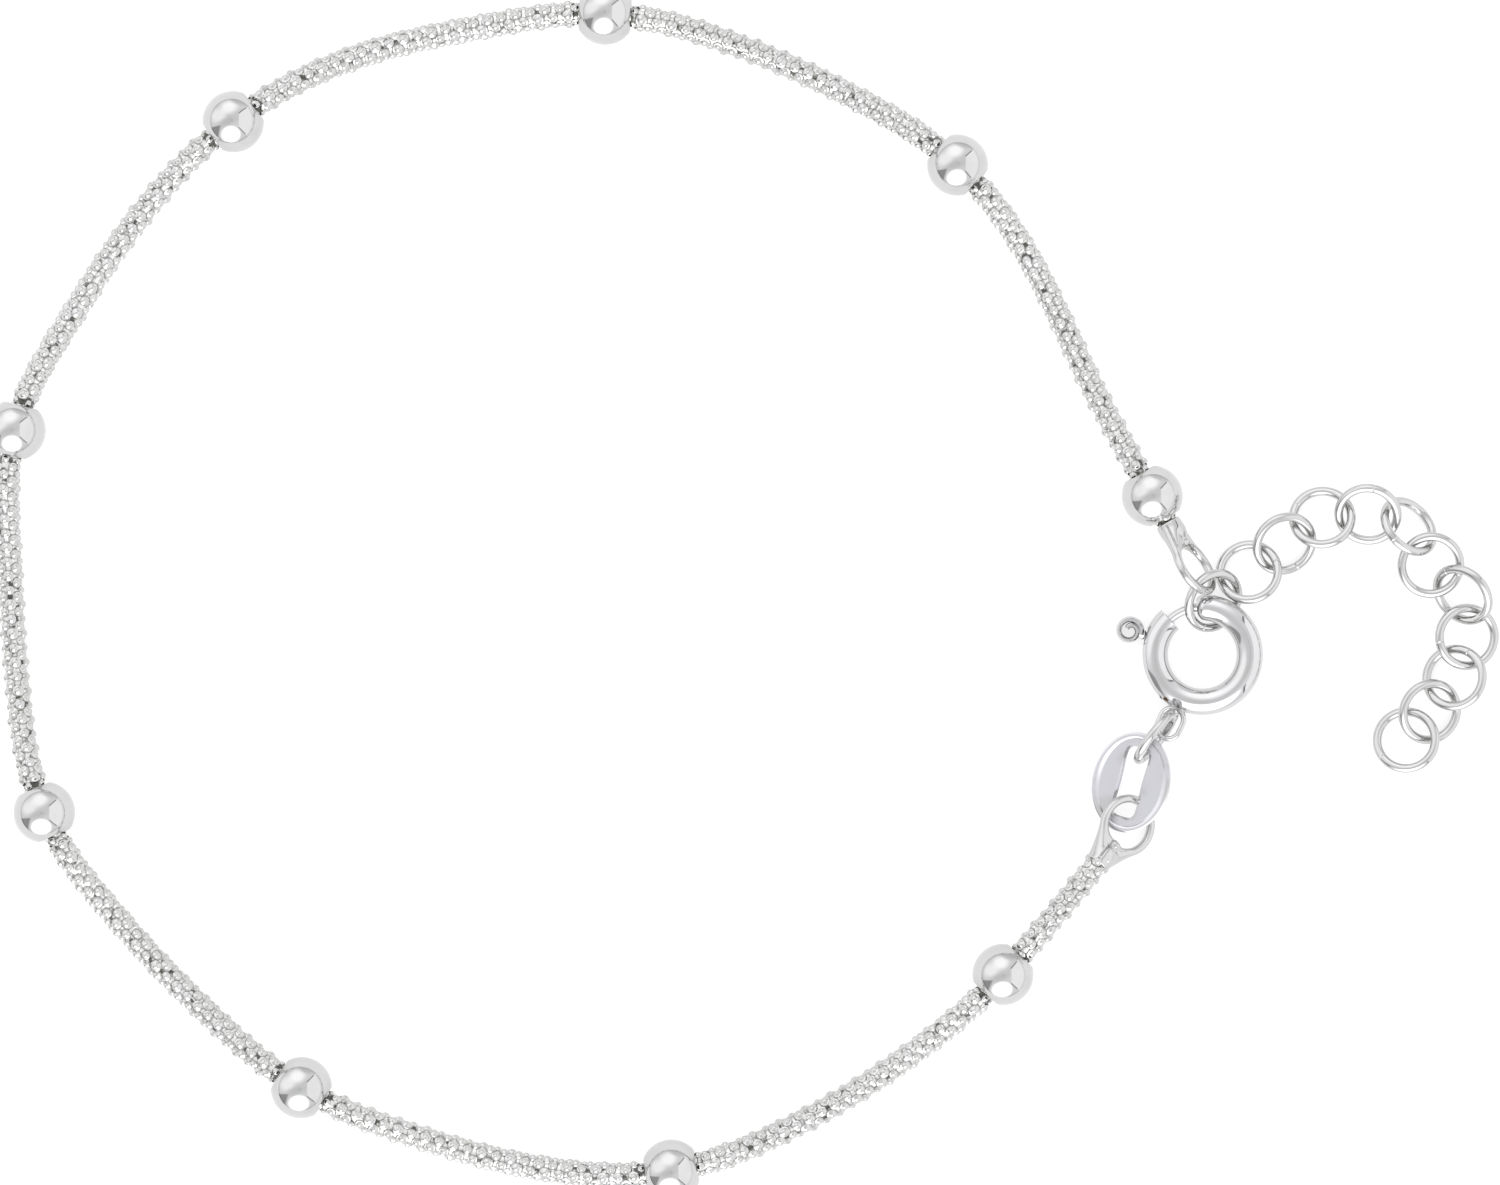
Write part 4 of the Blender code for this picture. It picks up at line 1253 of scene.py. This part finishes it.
def make_tent():
    """The world: a tent of white panels that meet at diagonal seams, open at its top."""
    world = bpy.data.worlds.new("tent")
    bpy.context.scene.world = world
    world.use_nodes = True
    tree = world.node_tree
    shading = Shading(tree)
    raised = shading.vector("ADD", "Vector", shading.place("Generated"), tuple(UP))
    face = shading.vector("NORMALIZE", "Vector", raised)
    x, y = (shading.new("ShaderNodeSeparateXYZ", axis, {"Vector": face}) for axis in "XY")

    light = TENT_BASE
    for middle_x, middle_y, half_x, half_y, turn, softness, level in TENT_PATCHES:
        offset_x = shading.add(x, -middle_x)
        offset_y = shading.add(y, -middle_y)
        far_x = shading.times(shading.across(offset_x, offset_y, turn - 90.0), 1.0 / half_x)
        far_y = shading.times(shading.across(offset_x, offset_y, turn), 1.0 / half_y)
        share = shading.ramp(shading.length(far_x, far_y), 1.0 + softness / 2.0, 1.0 - softness)
        light = shading.towards(light, level, share)

    rising = shading.across(x, y, TENT_SEAM_ANGLE)
    falling = shading.across(x, y, -TENT_SEAM_ANGLE)
    right = shading.times(
        shading.ramp(rising, TENT_PANEL_BLUR, -TENT_PANEL_BLUR),
        shading.ramp(falling, -TENT_PANEL_BLUR, TENT_PANEL_BLUR),
        shading.ramp(x, TENT_RIGHT_START - TENT_RIGHT_BLUR, TENT_RIGHT_START + TENT_RIGHT_BLUR),
    )
    light = shading.towards(light, TENT_RIGHT, right)

    from_x = shading.add(x, -TENT_DARK_CORNER[0])
    from_y = shading.add(y, -TENT_DARK_CORNER[1])
    edges = []
    for turn, start, full in TENT_DARK_EDGES:
        edges.append(shading.ramp(shading.across(from_x, from_y, turn), start, full))
    light = shading.towards(light, TENT_DARK, shading.times(*edges))

    reach = shading.length(x, y)
    near, far = TENT_SEAM_REACH
    along = shading.times(
        shading.ramp(reach, near - TENT_SEAM_FADE, near),
        shading.ramp(reach, far, far - TENT_SEAM_FADE),
        shading.ramp(x, 0.0, TENT_SEAM_START),
    )
    for line in (rising, falling):
        thin = shading.ramp(shading.do("ABSOLUTE", line), TENT_SEAM_HALF, TENT_SEAM_HALF / 2.0)
        light = shading.towards(light, 0.0, shading.times(thin, along, TENT_SEAM_SHADE))
    rim = shading.times(shading.ramp(reach, *TENT_RIM), TENT_RIM_SHADE)
    light = shading.towards(light, 0.0, rim)
    hole = shading.ramp(reach, TENT_HOLE, TENT_HOLE / 2.0)
    light = shading.towards(light, TENT_HOLE_LEVEL, hole)

    background = tree.nodes["Background"]
    tree.links.new(light, background.inputs["Strength"])
    background.inputs["Color"].default_value = TENT_TINT


def make_camera():
    camera_data = bpy.data.cameras.new("camera")
    camera_data.lens = LENS_MM
    camera_data.sensor_width = SENSOR_MM
    camera_data.clip_start = VIEW_NEAREST
    camera_data.clip_end = VIEW_FARTHEST
    camera = add_object("camera", camera_data)
    distance = VIEW_WIDTH * LENS_MM / SENSOR_MM
    camera.location = (*VIEW_CENTRE, VIEW_LEVEL + distance)
    bpy.context.scene.camera = camera


def main():
    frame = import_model()
    bpy.context.scene.view_settings.view_transform = "Standard"
    make_camera()
    make_tent()
    make_table()
    silver = silver_material("silver", SILVER_COLOUR, SILVER_DULL, POLISHED)
    wire_silver = silver_material("wire_silver", WIRE_COLOUR, SILVER_DULL, POLISHED)
    clasp_silver = silver_material("clasp_silver", CLASP_COLOUR, SILVER_COLOUR, POLISHED)
    bolt_silver = silver_material("bolt_silver", CLASP_COLOUR, SILVER_COLOUR, POLISHED)
    tag_silver = silver_material("tag_silver", TAG_COLOUR, SILVER_COLOUR, TAG_FINISH)
    chain_silver = silver_material("chain_silver", CHAIN_COLOUR, SILVER_COLOUR, CHAIN_FINISH)
    # The chain's inside, with painted shade that is heavier beside the beads
    core = core_material("chain_inside_painted_shade", CORE_SHADE_SHARE)
    core_shaded_at_bead = core_material("chain_inside_shaded_at_bead", CORE_SHADE_SHARE_AT_BEAD)
    route = ChainRoute()
    make_beads(route, silver)
    make_chain(route, [chain_silver, core, core_shaded_at_bead])
    make_caps(route, wire_silver)
    make_rings(frame, wire_silver)
    make_clasp(clasp_silver)
    make_bolt(bolt_silver)
    make_tag(tag_silver)


main()
